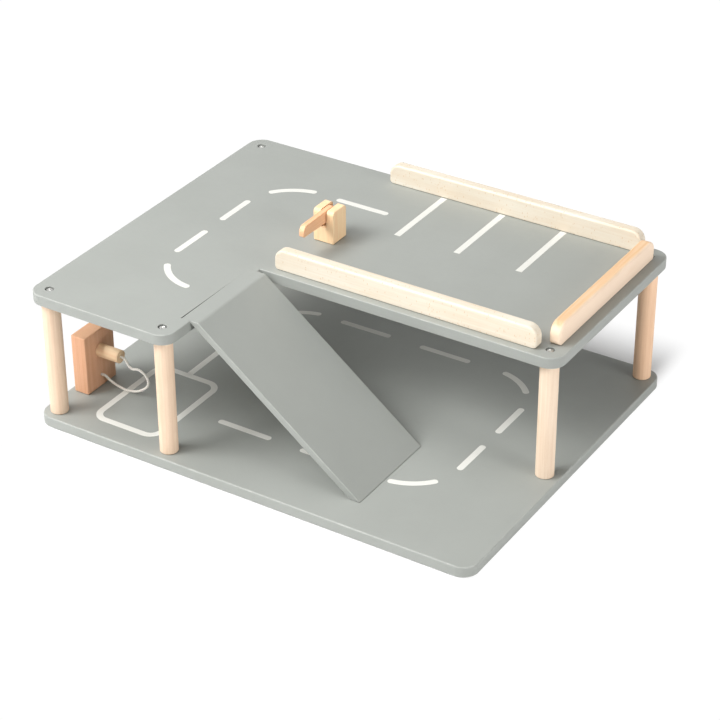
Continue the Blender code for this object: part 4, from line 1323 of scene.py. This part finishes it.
def road_lines(name, strokes, height, closed=False, radius=0.0, round_ends=True):
    """Printed lines through strokes of points in millimetres, lying on a board."""
    points = []
    edges = []
    for stroke in strokes:
        first = len(points)
        points += [(x * MM, y * MM, height) for x, y in stroke]
        edges += [(index, index + 1) for index in range(first, len(points) - 1)]
        if closed:
            edges.append((len(points) - 1, first))
    values = {
        "Width": LINE_WIDTH,
        "Thickness": LINE_THICKNESS,
        "Corner radius": radius * MM,
        "Round ends": 1.0 if round_ends else 0.0,
        "Step": LINE_STEP,
        "Material": LINE_PRINT,
    }
    lines = grow(name, LINE_TREE, points, edges, values)
    recalculate(lines)
    finish_piece(lines, LINE_PRINT, "marking_paint")


def all_road_lines():
    """Road lines on both boards."""
    upper = [*UPPER_DASHES, *[arc_points(*arc) for arc in UPPER_ARCS]]
    road_lines("upper_road", upper, DECK_TOP)
    parking_end = Box("back_rail").low.y / MM - PARKING_LINE_GAP
    bays = [((x, PARKING_LINE_START), (x, parking_end)) for x in PARKING_LINE_X]
    road_lines("parking_lines", bays, DECK_TOP, round_ends=False)
    lower = [*BASE_DASHES, *[arc_points(*arc) for arc in BASE_ARCS]]
    road_lines("base_road", lower, BASE_TOP)
    road_lines("charging_bay", [BAY_CORNERS], BASE_TOP, closed=True, radius=BAY_RADIUS, round_ends=False)
    road_lines("bay_lead", [BAY_LEAD], BASE_TOP, round_ends=False)


# Studio

def seen_straight(tree):
    """1 for what the camera sees, also in a mirror or through glass, and 0 for the light it throws."""
    seen = add(tree, "ShaderNodeLightPath")
    mirrored = maths("MAXIMUM", seen["Is Glossy Ray"], seen["Is Transmission Ray"])
    return maths("MAXIMUM", mirrored, seen["Is Camera Ray"])


def white_floor():
    """Pale floor that keeps the shadow near the garage and looks plain white further out."""
    mesh = bpy.data.meshes.new("floor")
    corners = [(x * FLOOR_REACH, y * FLOOR_REACH, 0) for x, y in ((-1, -1), (1, -1), (1, 1), (-1, 1))]
    mesh.from_pydata(corners, [], [(0, 1, 2, 3)])
    mesh.transform(Matrix.Translation((0, 0, -FLOOR_DROP)))
    floor = new_object("floor", mesh)
    material, tree, shader = new_material("white floor")
    level = (FLOOR_LEVEL, FLOOR_LEVEL, FLOOR_LEVEL, 1)
    fill(shader.inputs, {"Base Color": level, "Roughness": 1.0, "Specular IOR Level": 0.0})
    place = separate(add(tree, "ShaderNodeNewGeometry")["Position"])
    beside = ramp_up(maths("ABSOLUTE", place["X"]), *SHADOW_SIDES)
    behind = ramp_up(maths("ABSOLUTE", place["Y"]), *SHADOW_BACK)
    clear = beside + behind - beside * behind
    glow = add(tree, "ShaderNodeEmission", {"Color": WHITE, "Strength": FLOOR_GLOW})
    shares = {0: seen_straight(tree) * clear, 1: Value(shader.outputs[0]), 2: glow}
    mixed = add(tree, "ShaderNodeMixShader", shares)
    fill(tree.nodes["Material Output"].inputs, {"Surface": mixed})
    floor.data.materials.append(material)


def white_world():
    """World that looks white but throws little light."""
    world = bpy.data.worlds.new("studio")
    world.use_nodes = True
    bpy.context.scene.world = world
    tree = world.node_tree
    strength = seen_straight(tree) * (1.0 - WORLD_LEVEL) + WORLD_LEVEL
    fill(tree.nodes["Background"].inputs, {"Color": WHITE, "Strength": strength})


def studio():
    """White floor, white world and soft lamps."""
    bpy.context.scene.view_settings.view_transform = "Standard"
    white_floor()
    white_world()
    for name, place, size, power in LAMPS:
        light = bpy.data.lights.new(name, "AREA")
        light.shape = "SQUARE"
        light.size = size
        light.energy = power
        lamp = new_object(name, light)
        lamp.location = place
        lamp.rotation_euler = (LAMP_AIM - Vector(place)).to_track_quat("-Z", "Y").to_euler()


def camera():
    """Camera at the photograph's place."""
    data = bpy.data.cameras.new("camera")
    data.sensor_fit = "HORIZONTAL"
    data.sensor_width = SENSOR_WIDTH
    data.lens = SENSOR_WIDTH * FOCAL_PIXELS / PHOTO_WIDTH
    data.clip_start, data.clip_end = CAMERA_CLIP
    obj = new_object("camera", data)
    turn = Matrix.Rotation(CAMERA_YAW, 4, "Z")
    turn @= Matrix.Rotation(math.radians(90) - CAMERA_DOWN, 4, "X")
    turn @= Matrix.Rotation(CAMERA_ROLL, 4, "Z")
    obj.matrix_world = Matrix.Translation(CAMERA_PLACE) @ turn
    bpy.context.scene.camera = obj


camera()
studio()
cord, path, cord_length = twisted_cord()
plug_piece = plug()
base_board()
upper_board()
sloping_board()
turned_legs()
leg_screws()
rails()
gate_post()
gate_arm()
gate_pin()
charging_block()
all_road_lines()
for node_name, node_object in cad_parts.items():
    if node_name.startswith(("rail_screw", "ramp_screw", "charger_screw", "boom_post_screw")):
        node_object.data.materials.clear()
        node_object.data.materials.append(STEEL)
